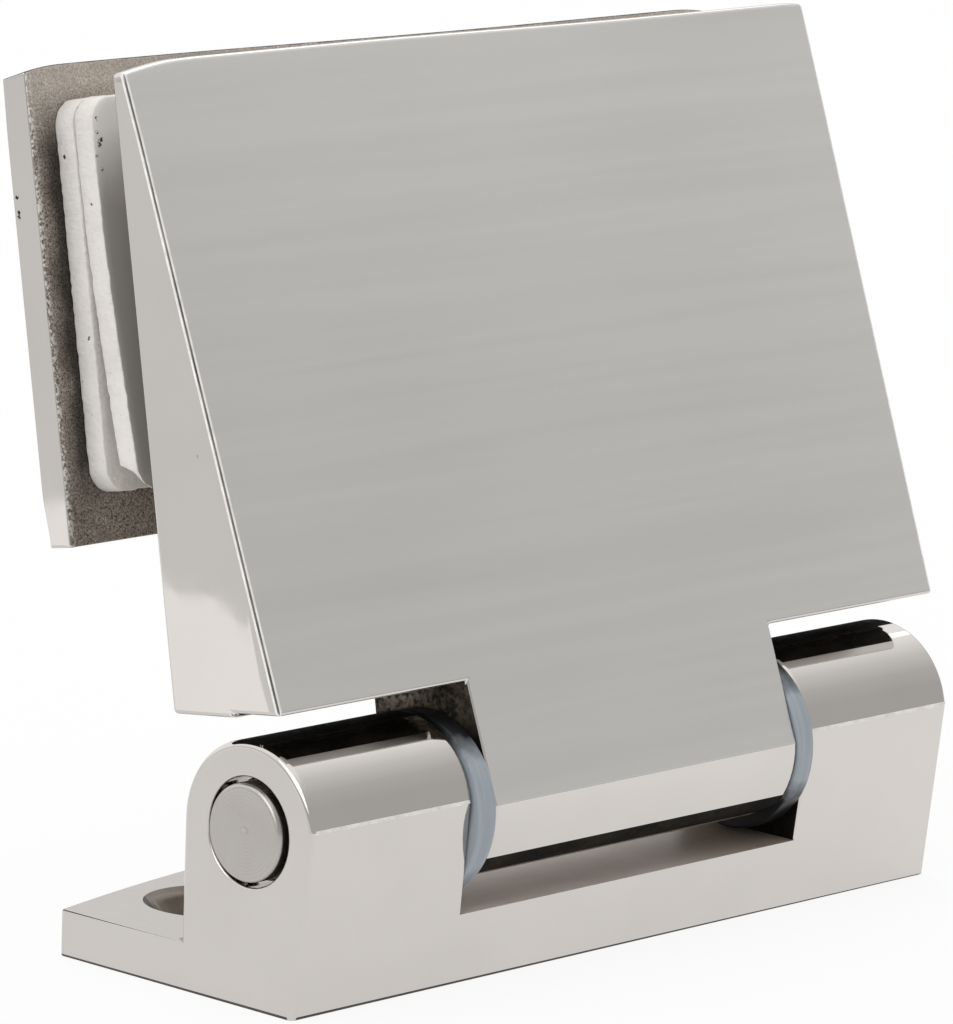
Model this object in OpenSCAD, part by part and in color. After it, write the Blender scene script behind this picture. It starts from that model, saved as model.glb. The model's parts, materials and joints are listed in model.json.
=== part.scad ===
// Shower screen bracket: a cast hinge bracket for a wall, with a wedge-shaped leaf that clamps a glass panel.
// X runs along the hinge pin, Y points rearwards and Z points up from the base's wall face.
// The leaf and everything on it is drawn in the leaf's own frame, with Z up the leaf from the pin axis
// and Y out of the leaf's rear face, and is then leaned back about the pin.

/* [Base bracket] */
// Length of the base along the pin
base_length = 90; // [76:1:120]
// Thickness of the wall plate
plate_thickness = 4.6; // [3.5:0.1:7]
// Distance from the pin axis back to the plate's rear corners
plate_reach = 24.5; // [21:0.5:34]
// Bow of the plate's rear edge between its corners
plate_bow = 5.5; // [1:0.5:8]
// Fillet between the ears and the plate
plate_fillet = 1; // [0.4:0.1:1.8]
// Rise of the saddle under the barrel above the plate
saddle_rise = 2.25; // [1.9:0.05:5]
// Distance from the pin axis forward to the foot of the front face
front_foot = 6.3; // [5:0.1:8]
// Radius of the ears round the pin axis
ear_radius = 8.5; // [7:0.1:10]
// Height of the front crease above the pin axis
ear_crease_rise = 1.4; // [0.4:0.1:3]
// Rounding of the ears' end edges
ear_edge_round = 0.7; // [0.2:0.1:1.4]

/* [Wall screw holes] */
// Radius of the screw hole
wall_hole_radius = 3.3; // [2:0.1:4]
// Radius of the countersink at the plate's top
wall_sink_radius = 6.3; // [4.5:0.1:7]
// Distance from the base's end to the hole's axis
wall_hole_inset = 13; // [9:0.5:20]

/* [Hinge pin and washers] */
// Radius of the hinge pin
pin_radius = 4.65; // [3:0.05:5]
// How far the pin stands out of each ear
pin_proud = 0.6; // [0.2:0.1:2]
// Rounding of the pin's end edges
pin_edge_round = 0.5; // [0.2:0.1:1.5]
// Running clearance between the pin and the ears
pin_play = 0.05; // [0.02:0.01:0.1]
// Slip clearance between the pin and the tongue
pin_slip = 0.03; // [0.01:0.01:0.1]
// Widening of the ears' bores at their mouths
pin_mouth_step = 0.52; // [0.2:0.02:1]
// Depth of the widened mouth
pin_mouth_depth = 2.5; // [1:0.1:6]
// Thickness of the thrust washers
washer_thickness = 2.3; // [1:0.1:4]
// How far the washers stand out beyond the barrel
washer_proud = 0.15; // [0.05:0.05:1]
// Side clearance on each face of a washer
washer_play = 0.05; // [0.02:0.01:0.3]
// Clearance between the washers and the pin
washer_slip = 0.1; // [0.05:0.01:0.1]

/* [Front leaf] */
// Lean of the leaf as it stands, back from upright
leaf_lean = 10; // [0:1:40]
// Height of the leaf from the pin axis to its top edge
leaf_height = 70.8; // [60:0.2:100]
// How far the leaf's sides stand out beyond the base's ends
leaf_overhang = 2.45; // [0:0.05:10]
// Distance from the pin axis to the leaf's rear face
leaf_rear = 5.85; // [4.5:0.05:7.5]
// Thickness of the leaf's top edge
leaf_top_thickness = 1.45; // [1:0.05:4]
// Draft of the leaf's side faces
leaf_side_draft = 5.8; // [0:0.1:8]
// Width of the tongue between the washers
tongue_width = 42.8; // [30:0.2:48]
// Radius of the barrel at the tongue's foot
barrel_radius = 9.05; // [8:0.05:11]
// Drop of the tongue's crease below the pin axis
leaf_crease_drop = 0.85; // [0.2:0.05:3]
// Clearance between the washers and the saddle
saddle_gap = 0.55; // [0.3:0.05:2]
// Clearance under the wings' front edge
wing_gap = 1.6; // [0.8:0.05:4]
// Slope of the wings' underside
wing_slope = 4; // [0:0.5:8]
// Step in the wings' underside
wing_step = 0.4; // [0.1:0.05:0.8]
// Distance from the pin axis forward to that step
wing_step_reach = 1.3; // [0.5:0.1:3]

/* [Clamp plate and gaskets] */
// Clear distance between the leaf and the rear plate
clamp_gap = 11.6; // [8:0.1:20]
// Thickness of the rear plate
rear_thickness = 2.7; // [2.5:0.1:6]
// Height of the rear plate
rear_height = 44.5; // [30:0.5:55]
// How far the rear plate's top stands above the leaf's
rear_rise = 0.5; // [0:0.1:3]
// Thickness of one gasket
gasket_thickness = 2.4; // [0.8:0.1:3]
// Margin of the rear plate round the gaskets' sides
gasket_side_margin = 3.2; // [1:0.1:10]
// Margin of the rear plate above the gaskets
gasket_top_margin = 3.1; // [1:0.1:8]
// Margin of the rear plate below the gaskets
gasket_bottom_margin = 4.7; // [1:0.1:8]
// Corner radius of the gaskets
gasket_corner = 2.2; // [0.5:0.1:5]
// Tilt of the loose gasket away from the other one
gasket_tilt = 2; // [0.5:0.1:3]
// Clearance between the gaskets' holes and the sleeves
gasket_hole_play = 0.4; // [0.3:0.05:1]

/* [Screws and sleeves] */
// Distance between the two clamp screws
clamp_spacing = 50; // [30:1:60]
// Radius of the clamp screws
clamp_radius = 2.5; // [2:0.1:3]
// Radius of the clamp screws' heads
clamp_head_radius = 4.6; // [4.2:0.1:5]
// Height of the plain rim of those heads
clamp_head_rim = 0.3; // [0.1:0.05:0.5]
// Clearance round the clamp screws and the grub screw
screw_play = 0.06; // [0.03:0.01:0.2]
// Metal left between the tapped holes and the leaf's front face
tap_wall = 1.6; // [1:0.1:2.5]
// Room left below a screw's tip in its hole
tip_room = 0.3; // [0.1:0.05:0.8]
// Wall of the plastic sleeves
sleeve_wall = 1.35; // [0.6:0.05:2.5]
// Clearance between the sleeves and the screws
sleeve_play = 0.15; // [0.05:0.05:0.5]
// Clearance at each end of a sleeve
sleeve_end_play = 0.1; // [0.05:0.05:0.5]
// Radius of the grub screw that locks the pin
grub_radius = 2.5; // [1.5:0.1:3]
// Depth of the grub screw below the barrel's surface
grub_sink = 0.6; // [0.2:0.1:1.5]
// Width across the flats of the hexagon sockets
socket_width = 2.5; // [1.5:0.1:3]
// Depth of the hexagon sockets
socket_depth = 1.7; // [1:0.1:2]

/* [Hidden] */
$fn = 96;

// Length by which a cut runs past the face that it opens
over = base_length / 90;

steel = [0.78, 0.77, 0.75];
turned_steel = [0.68, 0.67, 0.65];
screw_steel = [0.6, 0.6, 0.6];
washer_nylon = [0.55, 0.59, 0.63];
gasket_white = [0.88, 0.87, 0.84];
sleeve_clear = [0.84, 0.86, 0.86];

// Hinge line
washer_radius = barrel_radius + washer_proud;
saddle_top = plate_thickness + saddle_rise;
pin_height = saddle_top + saddle_gap + washer_radius;
washer_x = tongue_width / 2 + washer_play + washer_thickness / 2;
ear_inner_x = washer_x + washer_thickness / 2 + washer_play;
ear_length = base_length / 2 - ear_inner_x;
ear_x = ear_inner_x + ear_length / 2;

// Front face of the base, from its foot to the crease on the ears
ear_crease_y = -sqrt(ear_radius ^ 2 - ear_crease_rise ^ 2);
ear_crease_z = pin_height + ear_crease_rise;
function base_front(z) = -front_foot + (ear_crease_y + front_foot) * z / ear_crease_z;

// Plate outline and its holes
bow_radius = (base_length / 2) ^ 2 / (2 * plate_bow) + plate_bow / 2;
bow_centre_y = plate_reach + plate_bow - bow_radius;
wall_hole_x = base_length / 2 - wall_hole_inset;
rear_edge_at_hole = bow_centre_y + sqrt(bow_radius ^ 2 - wall_hole_x ^ 2);
wall_hole_y = (ear_radius + rear_edge_at_hole) / 2;

// Front face of the leaf, from its top edge to the crease on the barrel
leaf_width = base_length + 2 * leaf_overhang;
leaf_crease_y = -sqrt(barrel_radius ^ 2 - leaf_crease_drop ^ 2);
leaf_top_front = leaf_rear - leaf_top_thickness;
leaf_taper = (leaf_top_front - leaf_crease_y) / (leaf_height + leaf_crease_drop);
function leaf_front(z) = leaf_top_front - leaf_taper * (leaf_height - z);
wing_bottom = max(ear_radius, washer_radius) + wing_gap;
wing_front = leaf_front(wing_bottom);

// Clamp stack on the leaf's rear face
rear_inner = leaf_rear + clamp_gap;
rear_outer = rear_inner + rear_thickness;
rear_top = leaf_height + rear_rise;
rear_bottom = rear_top - rear_height;
clamp_z = (rear_top + rear_bottom) / 2;
tap_bottom = leaf_front(clamp_z + clamp_radius) + tap_wall;
gasket_width = leaf_width - 2 * gasket_side_margin;
gasket_top = rear_top - gasket_top_margin;
gasket_height = rear_height - gasket_top_margin - gasket_bottom_margin;
sleeve_bore = clamp_radius + sleeve_play;
sleeve_radius = sleeve_bore + sleeve_wall;

// Extrudes a side view, drawn as [Y, Z], along X
module along_x(length) {
    rotate([90, 0, 90])
        linear_extrude(length, center = true)
            children();
}

// Straight round bar along X
module rod_x(radius, length) {
    rotate([0, 90, 0])
        cylinder(r = radius, h = length, center = true);
}

// Round bar along X with rounded end edges
module rounded_rod_x(radius, length, edge) {
    rotate([0, 90, 0])
        rotate_extrude() {
            translate([0, -length / 2])
                square([radius - edge, length]);
            translate([0, edge - length / 2])
                square([radius, length - 2 * edge]);
            for (end = [-1, 1])
                translate([radius - edge, end * (length / 2 - edge)])
                    circle(edge);
        }
}

// Round bar along Y that starts at the origin
module rod_y(radius, length) {
    rotate([-90, 0, 0])
        cylinder(r = radius, h = length);
}

// Hexagon socket along Y, sunk from the origin towards -Y
module socket_y() {
    rotate([90, 0, 0])
        translate([0, 0, -over])
            cylinder(r = socket_width / sqrt(3), h = socket_depth + over, $fn = 6);
}

// Puts children from the leaf's frame where the leaf stands
module on_leaf() {
    translate([0, 0, pin_height])
        rotate([-leaf_lean, 0, 0])
            children();
}

// Places children at the two clamp screws, in the leaf's frame
module at_clamp_screws() {
    for (side = [-1, 1])
        translate([side * clamp_spacing / 2, 0, clamp_z])
            children();
}

// Flat plate with a bowed rear edge
module wall_plate() {
    linear_extrude(plate_thickness)
        intersection() {
            translate([-base_length / 2, 0])
                square([base_length, plate_reach + plate_bow + over]);
            translate([0, bow_centre_y])
                circle(bow_radius);
        }
}

// One ear: a round bar on a block, before its front face is cut
module ear_blank() {
    translate([0, 0, pin_height])
        rounded_rod_x(ear_radius, ear_length, ear_edge_round);
    translate([-ear_length / 2, -ear_radius - over, 0])
        cube([ear_length, ear_radius + over, ear_crease_z]);
    linear_extrude(pin_height) {
        translate([-ear_length / 2, 0])
            square([ear_length, ear_radius - ear_edge_round]);
        translate([ear_edge_round - ear_length / 2, 0])
            square([ear_length - 2 * ear_edge_round, ear_radius]);
        for (end = [-1, 1])
            translate([end * (ear_length / 2 - ear_edge_round), ear_radius - ear_edge_round])
                circle(ear_edge_round);
    }
}

// Low block under the barrel that joins the ears
module saddle() {
    translate([-ear_x, -ear_radius - over, 0])
        cube([2 * ear_x, 2 * ear_radius + over, saddle_top]);
}

// Concave fillet along the foot of the ears and the saddle
module plate_fillet_strip() {
    along_x(base_length - 2 * ear_edge_round)
        difference() {
            translate([ear_radius - plate_fillet, plate_thickness - plate_fillet])
                square(2 * plate_fillet);
            translate([ear_radius + plate_fillet, plate_thickness + plate_fillet])
                circle(plate_fillet);
        }
}

// Everything in front of the base's leaning front face, up to the crease
module front_face_cut() {
    along_x(base_length + 2 * over)
        polygon([
            [base_front(-over), -over],
            [ear_crease_y, ear_crease_z],
            [ear_crease_y - 2 * ear_radius, ear_crease_z + ear_radius],
            [ear_crease_y - 2 * ear_radius, -over]
        ]);
}

module base_bracket() {
    color(steel)
        difference() {
            union() {
                wall_plate();
                saddle();
                plate_fillet_strip();
                for (side = [-1, 1])
                    translate([side * ear_x, 0, 0])
                        ear_blank();
            }
            front_face_cut();
            translate([0, 0, pin_height]) {
                rod_x(pin_radius + pin_play, base_length + 2 * over);
                for (side = [-1, 1])
                    translate([side * (base_length / 2 - pin_mouth_depth / 2 + over / 2), 0, 0])
                        rod_x(pin_radius + pin_mouth_step, pin_mouth_depth + over);
            }
            for (side = [-1, 1])
                translate([side * wall_hole_x, wall_hole_y, 0]) {
                    translate([0, 0, -over])
                        cylinder(r = wall_hole_radius, h = plate_thickness + 2 * over);
                    translate([0, 0, plate_thickness + wall_hole_radius - wall_sink_radius])
                        cylinder(
                            r1 = wall_hole_radius,
                            r2 = wall_sink_radius + over,
                            h = wall_sink_radius - wall_hole_radius + over
                        );
                }
        }
}

module hinge_pin() {
    color(turned_steel)
        translate([0, 0, pin_height])
            rounded_rod_x(pin_radius, base_length + 2 * pin_proud, pin_edge_round);
}

// Thrust washer between the tongue and one ear
module washer(side) {
    color(washer_nylon)
        translate([side * washer_x, 0, pin_height])
            difference() {
                rod_x(washer_radius, washer_thickness);
                rod_x(pin_radius + washer_slip, washer_thickness + 2 * over);
            }
}

module washer_left() {
    washer(-1);
}

module washer_right() {
    washer(1);
}

// Side view of the leaf above the ears, a wedge with a small step in its underside
module wing_profile() {
    slope = tan(wing_slope);
    step_top = wing_bottom - slope * (wing_front + wing_step_reach);
    step_foot = step_top - wing_step;
    polygon([
        [leaf_rear, leaf_height],
        [leaf_top_front, leaf_height],
        [wing_front, wing_bottom],
        [-wing_step_reach, step_top],
        [-wing_step_reach, step_foot],
        [leaf_rear, step_foot + slope * (leaf_rear + wing_step_reach)]
    ]);
}

// Side view of the tongue and the barrel at its foot
module tongue_profile() {
    difference() {
        union() {
            circle(barrel_radius);
            translate([-2 * barrel_radius, -leaf_crease_drop])
                square([2 * barrel_radius + leaf_rear, wing_bottom + 2 * wing_gap + leaf_crease_drop]);
        }
        polygon([
            [leaf_crease_y, -leaf_crease_drop],
            [leaf_top_front, leaf_height],
            [leaf_crease_y - 2 * barrel_radius, leaf_height],
            [leaf_crease_y - 2 * barrel_radius, -leaf_crease_drop - barrel_radius]
        ]);
    }
}

// Block with the leaf's drafted side faces, wider at the rear
module side_draft_block() {
    front = leaf_crease_y - over;
    rear = leaf_rear + over;
    rear_half = leaf_width / 2 + over * tan(leaf_side_draft);
    front_half = rear_half - (rear - front) * tan(leaf_side_draft);
    linear_extrude(leaf_height + over)
        polygon([[-rear_half, rear], [rear_half, rear], [front_half, front], [-front_half, front]]);
}

module front_leaf() {
    color(steel)
        on_leaf()
            difference() {
                union() {
                    intersection() {
                        along_x(leaf_width + 2 * over)
                            wing_profile();
                        side_draft_block();
                    }
                    along_x(tongue_width)
                        tongue_profile();
                }
                rod_x(pin_radius + pin_slip, tongue_width + 2 * over);
                rod_y(grub_radius + screw_play, barrel_radius + over);
                at_clamp_screws()
                    translate([0, tap_bottom, 0])
                        rod_y(clamp_radius + screw_play, leaf_rear - tap_bottom + over);
            }
}

module pin_grub_screw() {
    tip = pin_radius + pin_slip;
    head = barrel_radius - grub_sink;
    color(screw_steel)
        on_leaf()
            difference() {
                translate([0, tip, 0])
                    rod_y(grub_radius, head - tip);
                translate([0, head, 0])
                    socket_y();
            }
}

// Countersunk form round the Y axis, with its wide end at the origin and its shank towards -Y
module countersunk_y(play, length, rim) {
    cone = clamp_head_radius - clamp_radius;
    rotate([90, 0, 0]) {
        translate([0, 0, rim > clamp_head_rim ? clamp_head_rim - rim : 0])
            cylinder(r = clamp_head_radius + play, h = rim);
        translate([0, 0, clamp_head_rim])
            cylinder(r1 = clamp_head_radius + play, r2 = clamp_radius + play, h = cone);
        translate([0, 0, clamp_head_rim])
            cylinder(r = clamp_radius + play, h = length - clamp_head_rim);
    }
}

module rear_plate() {
    color(steel)
        on_leaf()
            difference() {
                translate([-leaf_width / 2, rear_inner, rear_bottom])
                    cube([leaf_width, rear_thickness, rear_height]);
                at_clamp_screws()
                    translate([0, rear_outer, 0])
                        countersunk_y(screw_play, rear_thickness + over, clamp_head_rim + over);
            }
}

// Gasket sheet with its rear face on Y = 0 and its top edge on Z = 0
module gasket_sheet() {
    half = gasket_width / 2;
    rotate([90, 0, 0])
        linear_extrude(gasket_thickness)
            difference() {
                union() {
                    translate([-half, gasket_corner - gasket_height])
                        square([gasket_width, gasket_height - 2 * gasket_corner]);
                    translate([gasket_corner - half, -gasket_height])
                        square([gasket_width - 2 * gasket_corner, gasket_height]);
                    for (x = [gasket_corner - half, half - gasket_corner])
                        for (z = [gasket_corner - gasket_height, -gasket_corner])
                            translate([x, z])
                                circle(gasket_corner);
                }
                for (side = [-1, 1])
                    translate([side * clamp_spacing / 2, clamp_z - gasket_top])
                        circle(sleeve_radius + gasket_hole_play);
            }
}

module gasket_rear() {
    color(gasket_white)
        on_leaf()
            translate([0, rear_inner, gasket_top])
                gasket_sheet();
}

// The loose gasket hangs against the other one at its top edge and leans away from it
module gasket_front() {
    color(gasket_white)
        on_leaf()
            translate([0, rear_inner - gasket_thickness, gasket_top])
                rotate([-gasket_tilt, 0, 0])
                    gasket_sheet();
}

// Plastic sleeve round one clamp screw, from the leaf to the rear plate
module sleeve(side) {
    length = clamp_gap - 2 * sleeve_end_play;
    color(sleeve_clear)
        on_leaf()
            translate([side * clamp_spacing / 2, leaf_rear + sleeve_end_play, clamp_z])
                difference() {
                    rod_y(sleeve_radius, length);
                    translate([0, -over, 0])
                        rod_y(sleeve_bore, length + 2 * over);
                }
}

module sleeve_left() {
    sleeve(-1);
}

module sleeve_right() {
    sleeve(1);
}

module clamp_screws() {
    length = rear_outer - tap_bottom - tip_room;
    color(screw_steel)
        on_leaf()
            at_clamp_screws()
                translate([0, rear_outer, 0])
                    difference() {
                        countersunk_y(0, length, clamp_head_rim);
                        socket_y();
                    }
}

base_bracket();
hinge_pin();
washer_left();
washer_right();
front_leaf();
pin_grub_screw();
rear_plate();
gasket_rear();
gasket_front();
sleeve_left();
sleeve_right();
clamp_screws();
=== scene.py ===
"""Dresses the shower screen bracket: castings, gaskets, washers, screws, a white table and a camera."""
import json
import math

import bmesh
import bpy
from bpy.props import FloatProperty, FloatVectorProperty, IntProperty, PointerProperty
from mathutils import Matrix, Vector, noise


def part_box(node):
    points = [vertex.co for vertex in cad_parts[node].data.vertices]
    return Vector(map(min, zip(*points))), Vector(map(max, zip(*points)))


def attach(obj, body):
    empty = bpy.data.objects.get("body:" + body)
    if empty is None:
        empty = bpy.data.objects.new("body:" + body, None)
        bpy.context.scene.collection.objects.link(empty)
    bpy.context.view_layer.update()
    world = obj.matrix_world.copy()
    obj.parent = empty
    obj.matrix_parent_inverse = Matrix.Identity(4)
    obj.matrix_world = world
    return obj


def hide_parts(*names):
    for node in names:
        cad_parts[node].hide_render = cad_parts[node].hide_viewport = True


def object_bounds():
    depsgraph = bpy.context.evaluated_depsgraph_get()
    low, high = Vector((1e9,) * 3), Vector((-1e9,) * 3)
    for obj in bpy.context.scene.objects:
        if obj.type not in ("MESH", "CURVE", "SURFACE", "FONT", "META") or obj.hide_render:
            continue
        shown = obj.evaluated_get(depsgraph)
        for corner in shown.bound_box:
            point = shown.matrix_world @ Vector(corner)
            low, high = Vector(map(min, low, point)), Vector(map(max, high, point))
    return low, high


bl_info = {
    "name": "Shower Screen Bracket",
    "version": (1, 0, 0),
    "blender": (4, 5, 0),
    "location": "3D View > Sidebar > Bracket",
    "description": "Finishes a cast hinge bracket for a glass shower screen and lights it on a white table",
    "category": "Object",
}

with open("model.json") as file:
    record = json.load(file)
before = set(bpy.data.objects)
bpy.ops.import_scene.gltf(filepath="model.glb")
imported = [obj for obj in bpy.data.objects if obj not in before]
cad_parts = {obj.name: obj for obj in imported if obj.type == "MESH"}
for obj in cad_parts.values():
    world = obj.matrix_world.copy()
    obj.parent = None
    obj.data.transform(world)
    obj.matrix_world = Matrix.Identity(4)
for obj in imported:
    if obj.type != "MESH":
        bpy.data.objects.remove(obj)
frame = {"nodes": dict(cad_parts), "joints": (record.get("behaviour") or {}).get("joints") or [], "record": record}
CAD_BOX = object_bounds()

MM = 0.001

# Hinge and lean of the leaf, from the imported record
HINGE = Vector(frame["joints"][0]["pos_m"])
SLOT_UP = Vector(next(m["axis"] for m in frame["record"]["mounts"] if m["name"] == "glass_slot"))
LEAF_TO_ROOM = Matrix.Translation(HINGE) @ Matrix.Rotation(-math.atan2(SLOT_UP.y, SLOT_UP.z), 4, "X")
ROOM_TO_LEAF = LEAF_TO_ROOM.inverted()
PIN_TO_ROOM = Matrix.Translation(HINGE) @ Matrix.Rotation(math.radians(90), 4, "Y")

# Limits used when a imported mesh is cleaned
MERGE_DISTANCE = 0.0005 * MM
FLAT_ANGLE = math.radians(0.3)
CREASE_ANGLE = math.radians(9)
CREASE_LENGTH = 8.0 * MM
EDGE_ANGLE = math.radians(60)
SHARP_ANGLE = math.radians(50)
LEVEL_PLAY = 0.02 * MM

# How far a face looks along an axis, from squarely to hardly
FACING = 0.9
HALF_FACING = 0.5
SLANTED = 0.3
SLIGHTLY = 0.17

HOLE_REACH = 8.0 * MM
BRUSH_MAP = "brush"


def length(name, description, default):
    """A property that holds a length in metres."""
    return FloatProperty(name=name, description=description, default=default, unit="LENGTH", precision=5)


def angle(name, description, degrees):
    """A property that holds an angle, given in degrees."""
    return FloatProperty(name=name, description=description, default=math.radians(degrees), subtype="ANGLE")


def level(name, description, default):
    """A property that holds a brightness, with 1 as white."""
    return FloatProperty(name=name, description=description, default=default, min=0.0)


def colour(name, description, default):
    """A property that holds a linear colour."""
    return FloatVectorProperty(
        name=name, description=description, default=default, size=3, min=0.0, max=1.0, subtype="COLOR"
    )


class BracketSizes(bpy.types.PropertyGroup):
    """Edges, wear and small forms that the bracket's pieces are finished with."""

    front_edge: length("Front edge", "Rounding of the ears' front corners below the crease", 0.62 * MM)
    edge_break: length("Edge break", "Rounding of the castings' edges", 0.28 * MM)
    crease_strip: length("Crease strip", "Width of the rounded strip on each side of a crease", 0.18 * MM)
    leaf_edge: length("Leaf edge", "Width of the polished bevel round the leaf", 0.4 * MM)
    wing_lip: length("Wing lip", "Where the polish under a wing ends, before the pin's axis", 4.9 * MM)
    plate_edge: length("Plate edge", "Rounding of the rear plate's edges", 0.16 * MM)
    leaf_roll: length("Leaf roll-off", "Drop of the leaf's top edge at its left corner", 0.65 * MM)
    leaf_bow: length("Leaf bow", "Rise of the leaf's top edge in its left third", 0.3 * MM)
    belly_lift: length("Belly lift", "Rise of the barrel's flattened underside", 0.9 * MM)
    plate_roll: length("Plate roll-off", "Drop of the rear plate's top edge at its corners", 0.45 * MM)
    plate_rise: length("Plate rise", "Rise of the rear plate's top edge at its left end", 0.25 * MM)
    plate_dip: length("Plate dip", "Drop of the rear plate's top edge towards its right end", 0.42 * MM)
    plate_lean: length("Plate lean", "Extra thickness of the rear plate above its rounded foot", 0.5 * MM)
    plate_slope: length("Plate slope", "Drop of the rear plate's top towards the rear", 0.5 * MM)
    plate_reach: length("Plate roll reach", "Length over which the rear plate's corner rolls off", 5.0 * MM)
    roll_reach: length("Roll reach", "Length over which a top corner rolls off", 7.0 * MM)
    cast_rough: length("Casting roughness", "Height of the grains on an unpolished face", 0.07 * MM)
    gasket_corner: length("Gasket corner", "Corner radius of the gaskets", 2.4 * MM)
    gasket_gap: length("Gasket gap", "How far the loose gasket bends away at its foot", 1.9 * MM)
    gasket_tear: length("Gasket tear", "Height of the tear in the loose gasket's lower corner", 2.0 * MM)
    gasket_edge: length("Gasket edge", "Rounding of the gaskets' cut edges", 0.16 * MM)
    washer_sag: length("Washer sag", "How far the loose washers hang down", 0.4 * MM)
    washer_forward: length("Washer shift", "How far the loose washers stand forward", 0.25 * MM)
    washer_edge: length("Washer edge", "Rounding of the washers' edges", 0.25 * MM)
    pin_nub: length("Pin nub", "Radius of the nub left at the middle of a pin end", 0.4 * MM)
    thread_pitch: length("Thread pitch", "Pitch of the clamp and grub screws", 0.8 * MM)
    thread_depth: length("Thread depth", "Depth of those threads", 0.4 * MM)
    socket_flats: length("Socket flats", "Width across the hexagon sockets", 2.5 * MM)
    socket_depth: length("Socket depth", "Depth of the hexagon sockets", 1.7 * MM)
    turned_sides: IntProperty(
        name="Turned sides", description="Steps round a turned piece", default=96, min=24
    )


class BracketColours(bpy.types.PropertyGroup):
    """Colours of the bracket's finishes."""

    steel: colour("Steel", "Polished stainless steel", (0.650, 0.618, 0.590))
    steel_dull: colour("Dull steel", "Greyer patches of the polish", (0.600, 0.570, 0.540))
    # Painted highlight: the bright lines on creases and edges, the bright specks on the clamp's cast ends and the
    # painted light at the loose gasket's top.
    edge: colour("Edge", "Worn bright edges", (0.960, 0.940, 0.915))
    # Dark line: painted contact shadow along the foot, and dark lines on the plate rims and the rear plate's top.
    line: colour("Dark line", "Unpolished dark edges", (0.040, 0.036, 0.032))
    line_pale: colour("Pale line", "Paler parts of those edges", (0.095, 0.086, 0.076))
    hole: colour("Hole", "Inside of the wall screw holes", (0.130, 0.108, 0.088))
    hole_pale: colour("Pale hole", "Paler parts of that inside", (0.300, 0.255, 0.215))
    satin: colour("Satin steel", "Top of the wall plate", (0.450, 0.425, 0.400))
    # Painted dark reflection on the leaf's bevels.
    bevel: colour("Bevel", "Dark line along the leaf's bevels", (0.150, 0.140, 0.130))
    brushed: colour("Brushed steel", "Face of the leaf", (0.750, 0.738, 0.715))
    brushed_dull: colour("Dull brushed steel", "Greyer patches of the leaf's face", (0.660, 0.642, 0.612))
    cast_dark: colour("Cast hollows", "Hollows of the unpolished casting", (0.085, 0.066, 0.050))
    cast_pale: colour("Cast crowns", "Crowns of the unpolished casting", (0.860, 0.780, 0.690))
    # Painted light on the top of the casting.
    cast_top: colour("Cast top", "Cleaner top of the casting", (0.900, 0.830, 0.745))
    # Also painted shade deep in the clamp, and a painted dark reflection on the ears' shoulders and the barrel's
    # underside.
    scale_dark: colour("Casting scale", "Black scale under the wings", (0.005, 0.004, 0.003))
    scale_brown: colour("Brown scale", "Browner patches of that scale", (0.022, 0.018, 0.014))
    scale_rear: colour("Rear scale", "Browner scale towards the rear", (0.560, 0.470, 0.380))
    # Painted shade on the right part of the slot's floor.
    slot_dark: colour("Slot hollows", "Darker right part of the slot's floor", (0.420, 0.350, 0.290))
    slot_pale: colour("Slot floor", "Brown floor of the slot", (0.850, 0.750, 0.675))
    pin: colour("Pin", "Turned steel of the pin", (0.480, 0.455, 0.428))
    screw: colour("Screw", "Steel of the screws", (0.480, 0.475, 0.465))
    nylon: colour("Nylon", "Blue-grey plastic of the washers", (0.310, 0.350, 0.390))
    # Painted shade at the washers' top and low on the right washer.
    nylon_grime: colour("Nylon grime", "Grime on the washers", (0.012, 0.013, 0.015))
    nylon_pale: colour("Pale nylon", "Paler streaks in the washers", (0.460, 0.500, 0.535))
    gasket: colour("Gasket", "White gasket sheet", (0.860, 0.830, 0.790))
    gasket_soiled: colour("Soiled gasket", "Greyer patches of the gasket sheet", (0.700, 0.665, 0.620))
    gasket_grit: colour("Gasket grit", "Grit in the cut edges of the gaskets", (0.330, 0.295, 0.255))
    # Painted shade on the loose gasket's face below its top.
    gasket_grey: colour("Grey gasket", "Soiled face of the loose gasket", (0.520, 0.490, 0.455))
    speck: colour("Speck", "Dark specks on the gaskets", (0.030, 0.026, 0.022))
    sleeve: colour("Sleeve", "Pale plastic of the sleeves", (0.690, 0.710, 0.710))
    table: colour("Table", "White table that the bracket stands on", (0.860, 0.860, 0.860))


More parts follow.
